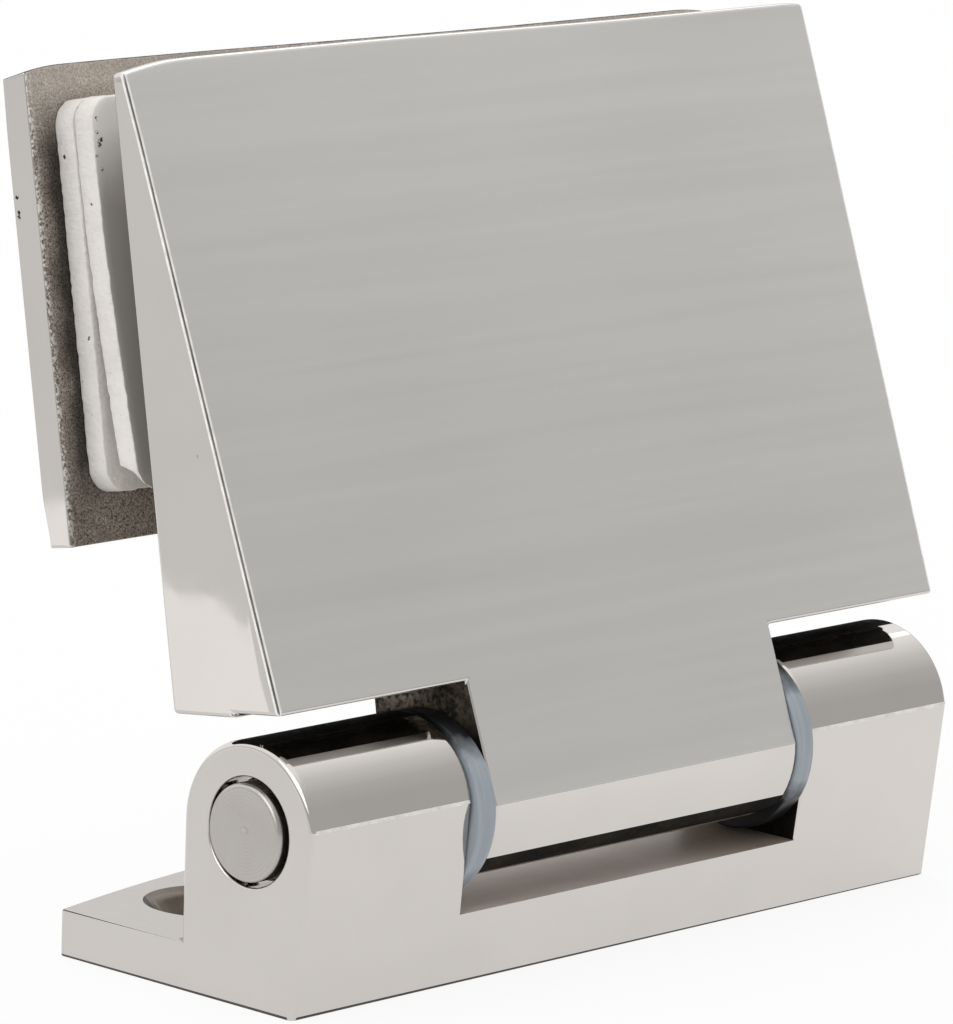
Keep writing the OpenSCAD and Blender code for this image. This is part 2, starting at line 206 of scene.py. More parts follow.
class BracketStage(bpy.types.PropertyGroup):
    """Camera and light."""

    camera_yaw: angle("Camera yaw", "Turn of the camera to the left of the front", 46.902)
    camera_pitch: angle("Camera pitch", "Height of the camera above the horizon", 10.833)
    camera_roll: angle("Camera roll", "Roll of the camera", 1.966)
    camera_distance: length("Camera distance", "Distance to the point that it looks at", 682.92 * MM)
    camera_height: length("Camera aim", "Height of the point that it looks at", 45.0 * MM)
    camera_right: length("Camera shift right", "Sideways place of the camera", -10.94 * MM)
    camera_up: length("Camera shift up", "Upward place of the camera", -3.632 * MM)
    lens: FloatProperty(name="Lens", description="Focal length", default=251.7, unit="CAMERA")
    table_radius: length("Table radius", "Radius of the white table", 2.5)
    table_white: level("Table white", "Share of plain white in the table as seen", 0.88)
    table_in_metal: level("Table in metal", "The same share as the metal shows it", 0.85)
    table_left: level("Table left", "Brightness of the table in the metal, left of the bracket", 0.80)
    table_right: level("Table right", "Brightness of the table in the metal, right of the bracket", 1.03)
    card_level: level("Card level", "Brightness of the reflector card", 1.16)
    softbox_side: length("Softbox side", "Side of each square softbox", 0.9)
    softbox_distance: length("Softbox distance", "Distance of the softboxes", 1.3)
    key_turn: angle("Key turn", "Turn of the key softbox from +X towards +Y", 40.0)
    key_height: angle("Key height", "Height of the key softbox above the horizon", 55.0)
    key_power: FloatProperty(name="Key power", description="Watts", default=2.2, unit="POWER")
    fill_turn: angle("Fill turn", "Turn of the fill softbox from +X towards +Y", 188.0)
    fill_height: angle("Fill height", "Height of the fill softbox above the horizon", 32.0)
    fill_power: FloatProperty(name="Fill power", description="Watts", default=3.2, unit="POWER")


# Helpers for sizes


def leaf_box(node):
    """Lowest and highest corner of a CAD node in the leaf's own frame."""
    points = [ROOM_TO_LEAF @ vertex.co for vertex in frame["nodes"][node].data.vertices]
    low = Vector([min(point[axis] for point in points) for axis in range(3)])
    high = Vector([max(point[axis] for point in points) for axis in range(3)])
    return low, high


def smooth_step(value):
    """0 below 0, 1 above 1, and smooth between."""
    value = min(1.0, max(0.0, value))
    return value * value * (3.0 - 2.0 * value)


# Helpers for meshes


def node_shape(node):
    """A CAD node's own form, with its loose triangles joined into whole flat faces."""
    source = frame["nodes"][node].data
    plain = bpy.data.meshes.new(node + "_copy")
    plain.from_pydata(
        [vertex.co for vertex in source.vertices], [], [tuple(face.vertices) for face in source.polygons]
    )
    shape = bmesh.new()
    shape.from_mesh(plain)
    bpy.data.meshes.remove(plain)
    bmesh.ops.remove_doubles(shape, verts=shape.verts, dist=MERGE_DISTANCE)
    bmesh.ops.dissolve_limit(
        shape, angle_limit=FLAT_ANGLE, use_dissolve_boundaries=False, verts=shape.verts, edges=shape.edges
    )
    return shape


def face_turn(edge):
    """Angle between an edge's two faces."""
    return edge.calc_face_angle(0.0) if len(edge.link_faces) == 2 else 0.0


def crease_planes(shape, width):
    """Planes that cut a narrow strip on each side of the long shallow creases, which then look rounded."""
    planes = []
    for edge in shape.edges:
        shallow = CREASE_ANGLE < face_turn(edge) < EDGE_ANGLE and edge.is_convex
        if shallow and edge.calc_length() > CREASE_LENGTH:
            middle = (edge.verts[0].co + edge.verts[1].co) / 2.0
            along = (edge.verts[1].co - edge.verts[0].co).normalized()
            for face in edge.link_faces:
                inward = face.normal.cross(along)
                if inward.dot(face.calc_center_median() - middle) < 0.0:
                    inward.negate()
                planes.append((middle + inward * width, inward))
    return planes


def is_front_corner(edge, height):
    """True for the long front edges that run down from the crease at a height."""
    top, foot = sorted((vertex.co for vertex in edge.verts), key=lambda place: -place.z)
    return abs(top.z - height) < LEVEL_PLAY and top.z - foot.z > CREASE_LENGTH and top.y < 0.0


def is_step(edge, height):
    """True for the short edges of small steps in a casting, and for the ledges at one height."""
    step_length = 0.3 * MM
    ledge = all(abs(vertex.co.z - height) < LEVEL_PLAY for vertex in edge.verts)
    return ledge or edge.calc_length() < step_length or not edge.is_convex


def hole_way(face, centre):
    """How far a face looks towards a wall screw hole's axis, or 0 away from the hole."""
    out = centre - face.calc_center_median()
    out.z = 0.0
    return face.normal.dot(out.normalized()) if out.length < HOLE_REACH else 0.0


def break_edges(shape, width, segments=3, leave=None):
    """Rounds a shape's sharp edges, apart from those that leave picks out."""
    chosen = [edge for edge in shape.edges if face_turn(edge) > EDGE_ANGLE and not (leave and leave(edge))]
    bmesh.ops.bevel(
        shape,
        geom=chosen,
        offset=width,
        offset_type="OFFSET",
        segments=segments,
        profile=0.5,
        affect="EDGES",
        clamp_overlap=False,
        loop_slide=True,
        material=-1,
    )


def slice_shape(shape, normal, points):
    """Adds flat cuts through a shape, so that its faces can bend there."""
    for point in points:
        bmesh.ops.bisect_plane(
            shape,
            geom=shape.verts[:] + shape.edges[:] + shape.faces[:],
            dist=MERGE_DISTANCE,
            plane_co=point,
            plane_no=normal,
        )


def spread(low, high, count):
    """Middles of a number of even steps from low to high."""
    return [low + (high - low) * (step + 0.5) / count for step in range(count)]


def slice_columns(shape, places):
    """Cuts a shape at places along X."""
    slice_shape(shape, Vector((1.0, 0.0, 0.0)), [Vector((place, 0.0, 0.0)) for place in places])


def slice_rows(shape, heights):
    """Cuts a shape at heights in the leaf's frame."""
    up = LEAF_TO_ROOM.to_3x3() @ Vector((0.0, 0.0, 1.0))
    slice_shape(shape, up, [LEAF_TO_ROOM @ Vector((0.0, 0.0, height)) for height in heights])


def settle(shape, mesh):
    """Writes a bmesh to a mesh and shades it smooth between its sharp edges."""
    shape.to_mesh(mesh)
    shape.free()
    mesh.shade_smooth()
    mesh.set_sharp_from_angle(angle=SHARP_ANGLE)
    return mesh


def plain_mesh(shape, name):
    """Turns a bmesh into a new mesh."""
    return settle(shape, bpy.data.meshes.new(name))


def add_piece(name, mesh, body, nodes, materials=()):
    """Links a mesh as a piece that rides on a body and stands for CAD nodes."""
    for material in materials:
        mesh.materials.append(material)
    piece = bpy.data.objects.new(name, mesh)
    bpy.context.scene.collection.objects.link(piece)
    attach(piece, body)
    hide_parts(*nodes)
    return piece


def finishes(makers):
    """One material for each maker, made when it is first asked for."""
    return [bpy.data.materials.get(maker.__name__) or maker() for maker in makers]


def add_casting(name, shape, body, node, makers):
    """Adds a polished casting, whose large flat faces stay flat beside their rounded edges."""
    piece = add_piece(name, plain_mesh(shape, name), body, [node], finishes(makers))
    weighted = piece.modifiers.new("flat_faces", "WEIGHTED_NORMAL")
    weighted.keep_sharp = True


def turned_shape(rings, sides):
    """A closed turned form round Z. Each ring is (height, radius), with True added for a hexagon."""
    shape = bmesh.new()
    loops = []
    for height, radius, *flats in rings:
        loop = []
        for step in range(sides):
            turn = 2.0 * math.pi * step / sides
            if flats:
                within = turn % (math.pi / 3.0) - math.pi / 6.0
                reach = radius / math.cos(within)
            else:
                reach = radius
            loop.append(shape.verts.new((reach * math.cos(turn), reach * math.sin(turn), height)))
        loops.append(loop)
    for lower, upper in zip(loops, loops[1:]):
        for step in range(sides):
            after = (step + 1) % sides
            shape.faces.new((lower[step], lower[after], upper[after], upper[step]))
    shape.faces.new(list(reversed(loops[0])))
    shape.faces.new(loops[-1])
    bmesh.ops.recalc_face_normals(shape, faces=shape.faces)
    return shape


def rounded_corner(height, radius, edge):
    """Rings of the rounded outer edge at a turned piece's upper end."""
    steps = 5
    turns = [math.pi / 2.0 * step / steps for step in range(steps + 1)]
    return [
        (height + edge * (math.sin(turn) - 1.0), radius + edge * (math.cos(turn) - 1.0)) for turn in turns
    ]


def roughen(vertices, height, scale, seed):
    """Moves vertices along their normals by noise."""
    offset = Vector((seed, 2.0 * seed, 3.0 * seed))
    moves = [vertex.normal * (height * noise.noise(vertex.co * scale + offset)) for vertex in vertices]
    for vertex, move in zip(vertices, moves):
        vertex.co += move


def roll_corner(shape, corner, reach, drop, depth):
    """Lowers the leaf's or the plate's top edge towards one corner, given in the leaf's frame."""
    for vertex in shape.verts:
        place = ROOM_TO_LEAF @ vertex.co
        along = abs(place.x - corner.x) / reach
        below = (corner.z - place.z) / depth
        if along < 1.0 and below < 1.0:
            place.z -= drop * (1.0 - along) ** 2 * (1.0 - below)
            vertex.co = LEAF_TO_ROOM @ place


def bow_leaf(shape, low, high, sizes):
    """Raises the leaf's top edge a little, most of all in its left third."""
    full, fading, fade = 0.1, 0.3, 0.45
    for vertex in shape.verts:
        place = ROOM_TO_LEAF @ vertex.co
        along = (place.x - low.x) / (high.x - low.x)
        below = (high.z - place.z) / sizes.roll_reach
        if below < 1.0:
            share = smooth_step(along / full) * (1.0 - smooth_step((along - fading) / fade))
            place.z += sizes.leaf_bow * share * (1.0 - below)
            vertex.co = LEAF_TO_ROOM @ place


def lift_belly(shape, tongue_half, reach, lift):
    """Flattens the underside of the leaf's barrel, which is ground back over the slot's floor."""
    wall = 0.8
    start, run = 0.55, 0.35
    for vertex in shape.verts:
        radius = (vertex.co - HINGE).yz.length
        if abs(vertex.co.x) < tongue_half and wall * reach < radius < reach:
            down = (HINGE.z - vertex.co.z) / radius
            vertex.co.z += lift * smooth_step((down - start) / run)


def bow_plate(shape, low, high, sizes):
    """Bows the rear plate's top edge down from left to right and thickens the plate above its foot."""
    start = 8.0 * MM
    reach = 60.0 * MM
    foot, brow, thinning = 0.12, 0.15, 0.25
    middle = (low.y + high.y) / 2.0
    for vertex in shape.verts:
        place = ROOM_TO_LEAF @ vertex.co
        along = (place.x - low.x - start) / reach
        rise = (place.z - low.z) / (high.z - low.z)
        upper = smooth_step((rise - 0.6) / 0.4)
        place.z += (sizes.plate_rise - sizes.plate_dip * smooth_step(along)) * upper
        if place.y > middle:
            at_brow = smooth_step((rise - (1.0 - brow)) / brow)
            place.y += sizes.plate_lean * smooth_step(rise / foot) * (1.0 - thinning * at_brow)
            place.z -= sizes.plate_slope * upper
        vertex.co = LEAF_TO_ROOM @ place


# Helpers for shader nodes


def set_input(tree, socket, value):
    """Links another node's output to a socket, or gives the socket a constant."""
    if isinstance(value, bpy.types.NodeSocket):
        tree.links.new(value, socket)
    else:
        socket.default_value = value


def add_node(tree, kind, inputs=None, **settings):
    """Adds a node with its inputs, by name or number, and its settings."""
    made = tree.nodes.new(kind)
    for key, value in settings.items():
        setattr(made, key, value)
    for key, value in (inputs or {}).items():
        set_input(tree, made.inputs[key], value)
    return made


def grain(tree, scale, stretch=(1.0, 1.0, 1.0), detail=4.0, roughness=0.5):
    """Noise in the piece's own metres, with scale as features per metre."""
    place = add_node(tree, "ShaderNodeTexCoord")
    mapping = add_node(tree, "ShaderNodeMapping", {"Vector": place.outputs["Object"], "Scale": stretch})
    texture = add_node(
        tree,
        "ShaderNodeTexNoise",
        {
            "Vector": mapping.outputs["Vector"],
            "Scale": scale,
            "Detail": detail,
            "Roughness": roughness,
        },
    )
    return texture.outputs["Fac"]


def remap(tree, value, low, high, start=0.3, stop=0.7):
    """Takes values from start to stop to low to high, and holds them there."""
    made = add_node(
        tree,
        "ShaderNodeMapRange",
        {"Value": value, "From Min": start, "From Max": stop, "To Min": low, "To Max": high},
        clamp=True,
    )
    return made.outputs["Result"]


def blend_colours(tree, factor, first, second):
    """Mixes two colours, each a constant or an output."""
    made = add_node(tree, "ShaderNodeMix", data_type="RGBA")
    tree.links.new(factor, made.inputs[0])
    for index, value in ((6, first), (7, second)):
        constant = not isinstance(value, bpy.types.NodeSocket)
        set_input(tree, made.inputs[index], (*value, 1.0) if constant else value)
    return made.outputs[2]


def math_node(tree, operation, first, second):
    """Output of one math node."""
    return add_node(tree, "ShaderNodeMath", {0: first, 1: second}, operation=operation).outputs[0]


def product(tree, first, *others):
    """Output of several factors multiplied."""
    for other in others:
        first = math_node(tree, "MULTIPLY", first, other)
    return first


def piece_axes(tree):
    """Outputs X, Y and Z of the place on a piece, in metres."""
    place = add_node(tree, "ShaderNodeTexCoord")
    return add_node(tree, "ShaderNodeSeparateXYZ", {"Vector": place.outputs["Object"]}).outputs


def relief(tree, height, distance, strength):
    """Bump from a height output."""
    inputs = {"Height": height, "Distance": distance, "Strength": strength}
    return add_node(tree, "ShaderNodeBump", inputs).outputs["Normal"]


def spots(tree, places, radius):
    """Mask of small ragged spots round places in the leaf's frame, given in millimetres."""
    here = add_node(tree, "ShaderNodeTexCoord").outputs["Object"]
    ragged = remap(tree, grain(tree, 4200.0, detail=3.0, roughness=0.7), -0.8 * radius, 0.9 * radius)
    mask = None
    for place in places:
        centre = LEAF_TO_ROOM @ (Vector(place) * MM)
        gap = add_node(tree, "ShaderNodeVectorMath", {0: here, 1: centre}, operation="DISTANCE")
        shaken = math_node(tree, "ADD", gap.outputs["Value"], ragged)
        spot = remap(tree, shaken, 1.0, 0.0, 0.7 * radius, radius)
        mask = spot if mask is None else math_node(tree, "MAXIMUM", mask, spot)
    return mask


def new_finish(name):
    """A new material, its node tree and the bracket's colours."""
    material = bpy.data.materials.new(name)
    material.use_nodes = True
    return material, material.node_tree, bpy.context.scene.bracket_colours


def dress(material, **inputs):
    """Sets a material's Principled inputs, named with underscores for spaces, and returns the material."""
    tree = material.node_tree
    for key, value in inputs.items():
        set_input(tree, tree.nodes["Principled BSDF"].inputs[key.replace("_", " ")], value)
    return material


# Finishes


def mirror_steel():
    """Mirror-like polish of the cast base and the leaf's sides, a little wavy."""
    material, tree, colours = new_finish("mirror_steel")
    patches = grain(tree, 90.0, detail=3.0)
    haze = grain(tree, 420.0, detail=5.0)
    waves = grain(tree, 130.0, detail=1.0)
    plate_pits = ((-47.45, 20.1, 59.6), (-47.45, 20.0, 58.2), (-47.45, 20.0, 57.7))
    leaf_pit = (-47.1, 0.0, 34.8)
    pits = spots(tree, (*plate_pits, leaf_pit), 0.24 * MM)
    steel = blend_colours(tree, remap(tree, patches, 0.0, 0.5), colours.steel, colours.steel_dull)
    return dress(
        material,
        Metallic=1.0,
        Base_Color=blend_colours(tree, pits, steel, colours.speck),
        Roughness=remap(tree, haze, 0.03, 0.07),
        Normal=relief(tree, waves, 0.02 * MM, 0.5),
    )


def brushed_steel():
    """Face of the leaf: polished with a fine belt, so that faint lines run along it, with a painted sheen that is
    lighter towards its top and its right end.
    """
    material, tree, colours = new_finish("brushed_steel")
    patches = grain(tree, 16.0, detail=2.0)
    lines = grain(tree, 1.0, stretch=(22.0, 1500.0, 1500.0), detail=2.0, roughness=0.6)
    broad_lines = grain(tree, 1.0, stretch=(10.0, 420.0, 420.0), detail=2.0)
    tone = product(tree, remap(tree, patches, 0.2, 1.0), remap(tree, broad_lines, 0.3, 1.0))
    along = add_node(tree, "ShaderNodeTangent", direction_type="UV_MAP", uv_map=BRUSH_MAP)
    axes = piece_axes(tree)
    # Painted sheen: the face is painted lighter towards its top and towards its right end.
    climb = remap(tree, axes["Z"], 0.0, 0.7, 40.0 * MM, 84.0 * MM)
    side = remap(tree, axes["X"], 0.0, 0.5, CAD_BOX[0].x, CAD_BOX[1].x)
    painted_sheen = remap(tree, math_node(tree, "ADD", climb, side), 0.94, 1.09, 0.05, 1.0)
    face = blend_colours(tree, tone, colours.brushed, colours.brushed_dull)
    sheened_face = add_node(tree, "ShaderNodeVectorMath", {0: face, "Scale": painted_sheen}, operation="SCALE")
    return dress(
        material,
        Metallic=1.0,
        Anisotropic=0.8,
        Base_Color=sheened_face.outputs["Vector"],
        Roughness=remap(tree, lines, 0.36, 0.42),
        Normal=relief(tree, lines, 0.002 * MM, 0.15),
        Tangent=along.outputs["Tangent"],
    )


def plain_metal(name, first, second, scale, rough, bump, metallic=1.0):
    """A metal finish with patches of two named colours and of a lower and a higher roughness."""
    material, tree, colours = new_finish(name)
    pair = (getattr(colours, first), getattr(colours, second))
    patches = grain(tree, scale, detail=4.0)
    return dress(
        material,
        Metallic=metallic,
        Base_Color=blend_colours(tree, remap(tree, patches, 0.0, 0.7), *pair),
        Roughness=remap(tree, patches, *rough),
        Normal=relief(tree, patches, bump, 0.4),
    )


def painted_highlight_line():
    """Painted highlight: a bright matt line along creases and edges."""
    return plain_metal("painted_highlight_line", "edge", "steel", 800.0, (0.35, 0.5), 0.01 * MM, 0.0)


def painted_dark_bevel():
    """Narrow bevel along the leaf's sides, with a dark colour painted as a painted reflection of a darker side of
    the room.
    """
    return plain_metal("painted_dark_bevel", "bevel", "steel_dull", 300.0, (0.12, 0.25), 0.01 * MM)


def dark_line_and_contact_shadow():
    """Dull dark line: painted contact shadow where an edge meets the table, and dark lines along the plate rims
    and the rear plate's top.
    """
    return plain_metal("dark_line_and_contact_shadow", "line", "line_pale", 300.0, (0.5, 0.7), 0.01 * MM, 0.0)


def hole_brown():
    """Brown inside of the countersunk wall screw holes."""
    return plain_metal("hole_brown", "hole", "hole_pale", 260.0, (0.35, 0.5), 0.02 * MM, 0.5)


def satin_steel():
    """Duller top of the wall plate."""
    return plain_metal("satin_steel", "satin", "pin", 600.0, (0.22, 0.36), 0.02 * MM)


def screw_finish():
    """Plain steel of the clamp and grub screws."""
    return plain_metal("screw_finish", "screw", "steel_dull", 700.0, (0.2, 0.34), 0.006 * MM)


def cast_steel():
    """Unpolished casting inside the clamp, with painted light at its top, painted highlight specks along its ends
    and painted shade deep inside.
    """
    material, tree, colours = new_finish("cast_steel")
    grains = grain(tree, 5200.0, detail=3.0, roughness=0.75)
    stains = grain(tree, 160.0, detail=4.0)
    axes = piece_axes(tree)
    end = math_node(tree, "ABSOLUTE", axes["X"], 0.0)
    shaken = math_node(tree, "ADD", end, remap(tree, stains, -0.4 * MM, 0.4 * MM))
    edge = CAD_BOX[1].x
    top = CAD_BOX[1].z
    # Painted shade: near-black shade is painted deep inside the clamp, away from its ends, its top and its lower
    # part.
    inside = remap(tree, shaken, 1.0, 0.0, edge - 2.5 * MM, edge - 0.6 * MM)
    below = remap(tree, axes["Z"], 1.0, 0.0, top - 10.0 * MM, top - 3.5 * MM)
    above = remap(tree, axes["Z"], 0.0, 1.0, top - 42.0 * MM, top - 38.0 * MM)
    painted_shade = product(tree, inside, below, above)
    # Painted light: the casting is painted paler towards its top.
    clear = remap(tree, axes["Z"], 0.0, 0.4, top - 9.0 * MM, top - 3.0 * MM)
    rough_tone = product(tree, remap(tree, grains, 0.0, 1.0, 0.36, 0.66), remap(tree, stains, 0.45, 1.0))
    grey = blend_colours(tree, rough_tone, colours.cast_dark, colours.cast_pale)
    clean = blend_colours(tree, clear, grey, colours.cast_top)
    shaded_colour = blend_colours(tree, rough_tone, colours.scale_dark, colours.cast_dark)
    cast_shade_share = product(tree, painted_shade, 0.92)
    cast = blend_colours(tree, cast_shade_share, clean, shaded_colour)
    # Painted highlight: bright specks are painted along the ends.
    rim = remap(tree, end, 0.0, 1.0, edge - 0.9 * MM, edge - 0.15 * MM)
    painted_glint = product(tree, rim, remap(tree, grain(tree, 2900.0, detail=1.0), 0.0, 1.0, 0.5, 0.56))
    return dress(
        material,
        Metallic=0.4,
        Base_Color=blend_colours(tree, painted_glint, cast, colours.edge),
        Roughness=remap(tree, grains, 0.65, 0.4),
        Normal=relief(tree, grains, 0.1 * MM, 0.8),
    )


def scale_and_painted_reflection():
    """Black scale that is left on the casting under the wings, beside the tongue and in deep corners; on the ears'
    shoulders and a stripe of the barrel's underside it is a painted dark reflection of the wings' undersides.
    """
    material, tree, colours = new_finish("scale_and_painted_reflection")
    grains = grain(tree, 1700.0, detail=4.0, roughness=0.65)
    stains = grain(tree, 240.0, detail=4.0)
    glints = remap(tree, grains, 0.0, 0.8, 0.66, 0.74)
    axes = piece_axes(tree)
    towards_rear = remap(tree, axes["Y"], 0.25, 1.0, -6.0 * MM, 3.5 * MM)
    rear = math_node(tree, "POWER", towards_rear, 2.0)
    raised = remap(tree, axes["Z"], 0.0, 1.0, 23.0 * MM, 25.0 * MM)
    out = math_node(tree, "ABSOLUTE", axes["X"], 0.0)
    cheek = product(tree, raised, remap(tree, out, 1.0, 0.0, 22.0 * MM, 22.6 * MM))
    mottled = product(tree, remap(tree, grains, 0.1, 1.0, 0.38, 0.6), remap(tree, stains, 0.5, 1.0))
    brown = product(tree, rear, cheek, mottled)
    black = blend_colours(tree, remap(tree, stains, 0.0, 1.0), colours.scale_dark, colours.scale_brown)
    return dress(
        material,
        Specular_IOR_Level=0.08,
        Base_Color=blend_colours(tree, brown, black, colours.scale_rear),
        Metallic=glints,
        Roughness=remap(tree, grains, 0.95, 0.6),
        Normal=relief(tree, grains, 0.12 * MM, 0.6),
    )


def slot_brown():
    """Brown, half-polished floor of the slot under the barrel, with painted shade towards its right and near its
    front lip, and painted light deeper in.
    """
    material, tree, colours = new_finish("slot_brown")
    stains = grain(tree, 320.0, stretch=(0.5, 1.0, 1.0), detail=5.0, roughness=0.6)
    grains = grain(tree, 1900.0, detail=3.0)
    axes = piece_axes(tree)
    # Painted shade towards the right and near the front lip, painted light deeper in.
    left = remap(tree, axes["X"], 1.0, 0.0, 6.0 * MM, 20.0 * MM)
    deep = remap(tree, axes["Y"], 0.88, 1.0, -7.0 * MM, -2.5 * MM)
    pale = product(tree, left, deep, remap(tree, stains, 0.8, 1.0))
    return dress(
        material,
        Metallic=0.05,
        Base_Color=blend_colours(tree, pale, colours.slot_dark, colours.slot_pale),
        Roughness=remap(tree, grains, 0.34, 0.5),
        Normal=relief(tree, grains, 0.05 * MM, 0.5),
    )


def pin_steel():
    """Turned pin with fine rings round its axis."""
    material, tree, colours = new_finish("pin_steel")
    place = add_node(tree, "ShaderNodeTexCoord")
    centred = add_node(tree, "ShaderNodeMapping", {"Vector": place.outputs["Object"], "Location": -HINGE})
    rings = add_node(
        tree,
        "ShaderNodeTexWave",
        {
            "Vector": centred.outputs["Vector"],
            "Scale": 900.0,
            "Distortion": 1.2,
            "Detail": 2.0,
            "Detail Scale": 3.0,
        },
        wave_type="RINGS",
        rings_direction="X",
    )
    patches = grain(tree, 260.0, detail=3.0)
    tone = product(tree, rings.outputs["Fac"], remap(tree, patches, 0.0, 0.5))
    return dress(
        material,
        Metallic=1.0,
        Base_Color=blend_colours(tree, tone, colours.pin, colours.steel_dull),
        Roughness=remap(tree, patches, 0.24, 0.34),
        Normal=relief(tree, rings.outputs["Fac"], 0.005 * MM, 0.4),
    )


def washer_finish():
    """Milky nylon, paler in streaks round the rim, with painted shade at its top and low on the right washer."""
    material, tree, colours = new_finish("washer_finish")
    streaks = grain(tree, 1.0, stretch=(1900.0, 90.0, 90.0), detail=3.0)
    haze = grain(tree, 500.0, detail=3.0)
    axes = piece_axes(tree)
    # Painted shade: the nylon is painted near-black at its top and low on the right washer.
    shaken = math_node(tree, "ADD", axes["Z"], remap(tree, haze, -0.6 * MM, 0.6 * MM))
    right = remap(tree, axes["X"], 0.0, 1.0, 0.0, 1.0 * MM)
    low = product(tree, remap(tree, shaken, 1.0, 0.0, 11.4 * MM, 13.2 * MM), right)
    shade_mask = math_node(tree, "MAXIMUM", remap(tree, shaken, 0.0, 1.0, 21.6 * MM, 23.8 * MM), low)
    clean = blend_colours(tree, remap(tree, streaks, 0.0, 0.5), colours.nylon, colours.nylon_pale)
    return dress(
        material,
        Subsurface_Weight=0.25,
        Subsurface_Radius=(0.9 * MM, 1.0 * MM, 1.1 * MM),
        Base_Color=blend_colours(tree, shade_mask, clean, colours.nylon_grime),
        Roughness=remap(tree, haze, 0.3, 0.46),
        Normal=relief(tree, streaks, 0.01 * MM, 0.2),
    )


def gasket_sheet():
    """White cut sheet with soiled patches and a few dark specks."""
    material, tree, colours = new_finish("gasket_sheet")
    soil = grain(tree, 210.0, detail=5.0, roughness=0.6)
    tooth = grain(tree, 1500.0, stretch=(1.0, 1.0, 1.6), detail=4.0, roughness=0.65)
    grit = grain(tree, 2300.0, detail=2.0)
    dirt = product(tree, remap(tree, soil, 0.0, 0.8), remap(tree, tooth, 0.3, 1.0))
    sheet = blend_colours(tree, dirt, colours.gasket, colours.gasket_soiled)
    speckled = blend_colours(tree, remap(tree, grit, 0.0, 0.6, 0.69, 0.78), sheet, colours.gasket_grit)
    marks = spots(tree, ((-44.3, 16.6, 62.9), (-44.3, 15.6, 46.0), (-44.3, 13.6, 58.4)), 0.2 * MM)
    return dress(
        material,
        Specular_IOR_Level=0.25,
        Base_Color=blend_colours(tree, marks, speckled, colours.speck),
        Roughness=remap(tree, tooth, 0.62, 0.8),
        Normal=relief(tree, tooth, 0.22 * MM, 1.0),
    )


def gasket_shaded():
    """Face of the loose gasket towards the leaf: painted light at its top, painted shade below."""
    material, tree, colours = new_finish("gasket_shaded")
    soil = grain(tree, 210.0, detail=5.0, roughness=0.6)
    tooth = grain(tree, 3200.0, detail=2.0)
    axes = piece_axes(tree)
    top = CAD_BOX[1].z
    shaken = math_node(tree, "ADD", axes["Z"], remap(tree, soil, -0.8 * MM, 0.8 * MM))
    # Painted shade below, painted light at the top.
    gasket_shade_share = remap(tree, shaken, 1.0, 0.0, top - 14.0 * MM, top - 6.5 * MM)
    sheet = blend_colours(tree, gasket_shade_share, colours.edge, colours.gasket_grey)
    face_y = 12.55
    large = spots(tree, [(x, face_y, z) for x, z in ((-43.3, 64.2), (-43.5, 63.8))], 0.26 * MM)
    small_places = ((-43.6, 66.2), (-43.7, 65.0), (-44.0, 62.8), (-43.5, 61.5))
    small = spots(tree, [(x, face_y, z) for x, z in small_places], 0.22 * MM)
    specks = math_node(tree, "MAXIMUM", large, small)
    return dress(
        material,
        Specular_IOR_Level=0.25,
        Base_Color=blend_colours(tree, specks, sheet, colours.speck),
        Roughness=remap(tree, tooth, 0.62, 0.8),
        Normal=relief(tree, tooth, 0.03 * MM, 0.5),
    )


def sleeve_plastic():
    """Pale plastic of the sleeves."""
    material, tree, colours = new_finish("sleeve_plastic")
    cloud = grain(tree, 350.0, detail=3.0)
    return dress(
        material,
        Subsurface_Weight=0.2,
        Subsurface_Radius=(1.0 * MM, 1.0 * MM, 1.0 * MM),
        Base_Color=blend_colours(tree, remap(tree, cloud, 0.0, 0.5), colours.sleeve, colours.gasket),
        Roughness=remap(tree, cloud, 0.24, 0.4),
        Normal=relief(tree, cloud, 0.01 * MM, 0.3),
    )


def table_white():
    """White table: plain white to the camera and in the metal, with the object's shadow kept."""
    colours = bpy.context.scene.bracket_colours
    stage = bpy.context.scene.bracket_stage
    material = bpy.data.materials.new("table_white")
    material.use_nodes = True
    tree = material.node_tree
    tree.nodes.clear()
    path = add_node(tree, "ShaderNodeLightPath")
    mirrored = math_node(tree, "MAXIMUM", path.outputs["Is Glossy Ray"], path.outputs["Is Transmission Ray"])
    in_metal = product(tree, mirrored, stage.table_in_metal)
    in_view = product(tree, path.outputs["Is Camera Ray"], stage.table_white)
    share = math_node(tree, "ADD", in_metal, in_view)
    axes = piece_axes(tree)
    metal_level = remap(tree, axes["X"], stage.table_left, stage.table_right, -220.0 * MM, 60.0 * MM)
    metal_part = product(tree, mirrored, metal_level)
    strength = math_node(tree, "ADD", metal_part, path.outputs["Is Camera Ray"])
    matt = add_node(tree, "ShaderNodeBsdfDiffuse", {"Color": (*colours.table, 1.0)})
    white = add_node(tree, "ShaderNodeEmission", {"Color": (1.0, 1.0, 1.0, 1.0), "Strength": strength})
    mixed = add_node(
        tree,
        "ShaderNodeMixShader",
        {0: share, 1: matt.outputs["BSDF"], 2: white.outputs["Emission"]},
    )
    add_node(tree, "ShaderNodeOutputMaterial", {"Surface": mixed.outputs["Shader"]})
    return material


# Helpers for Geometry Nodes


def new_tree(name, sockets):
    """A Geometry Nodes tree with named inputs, its input node and its output node."""
    tree = bpy.data.node_groups.new(name, "GeometryNodeTree")
    for socket, kind in sockets:
        tree.interface.new_socket(socket, in_out="INPUT", socket_type="NodeSocket" + kind)
    tree.interface.new_socket("Geometry", in_out="OUTPUT", socket_type="NodeSocketGeometry")
    start = tree.nodes.new("NodeGroupInput")
    end = tree.nodes.new("NodeGroupOutput")
    return tree, start.outputs, end


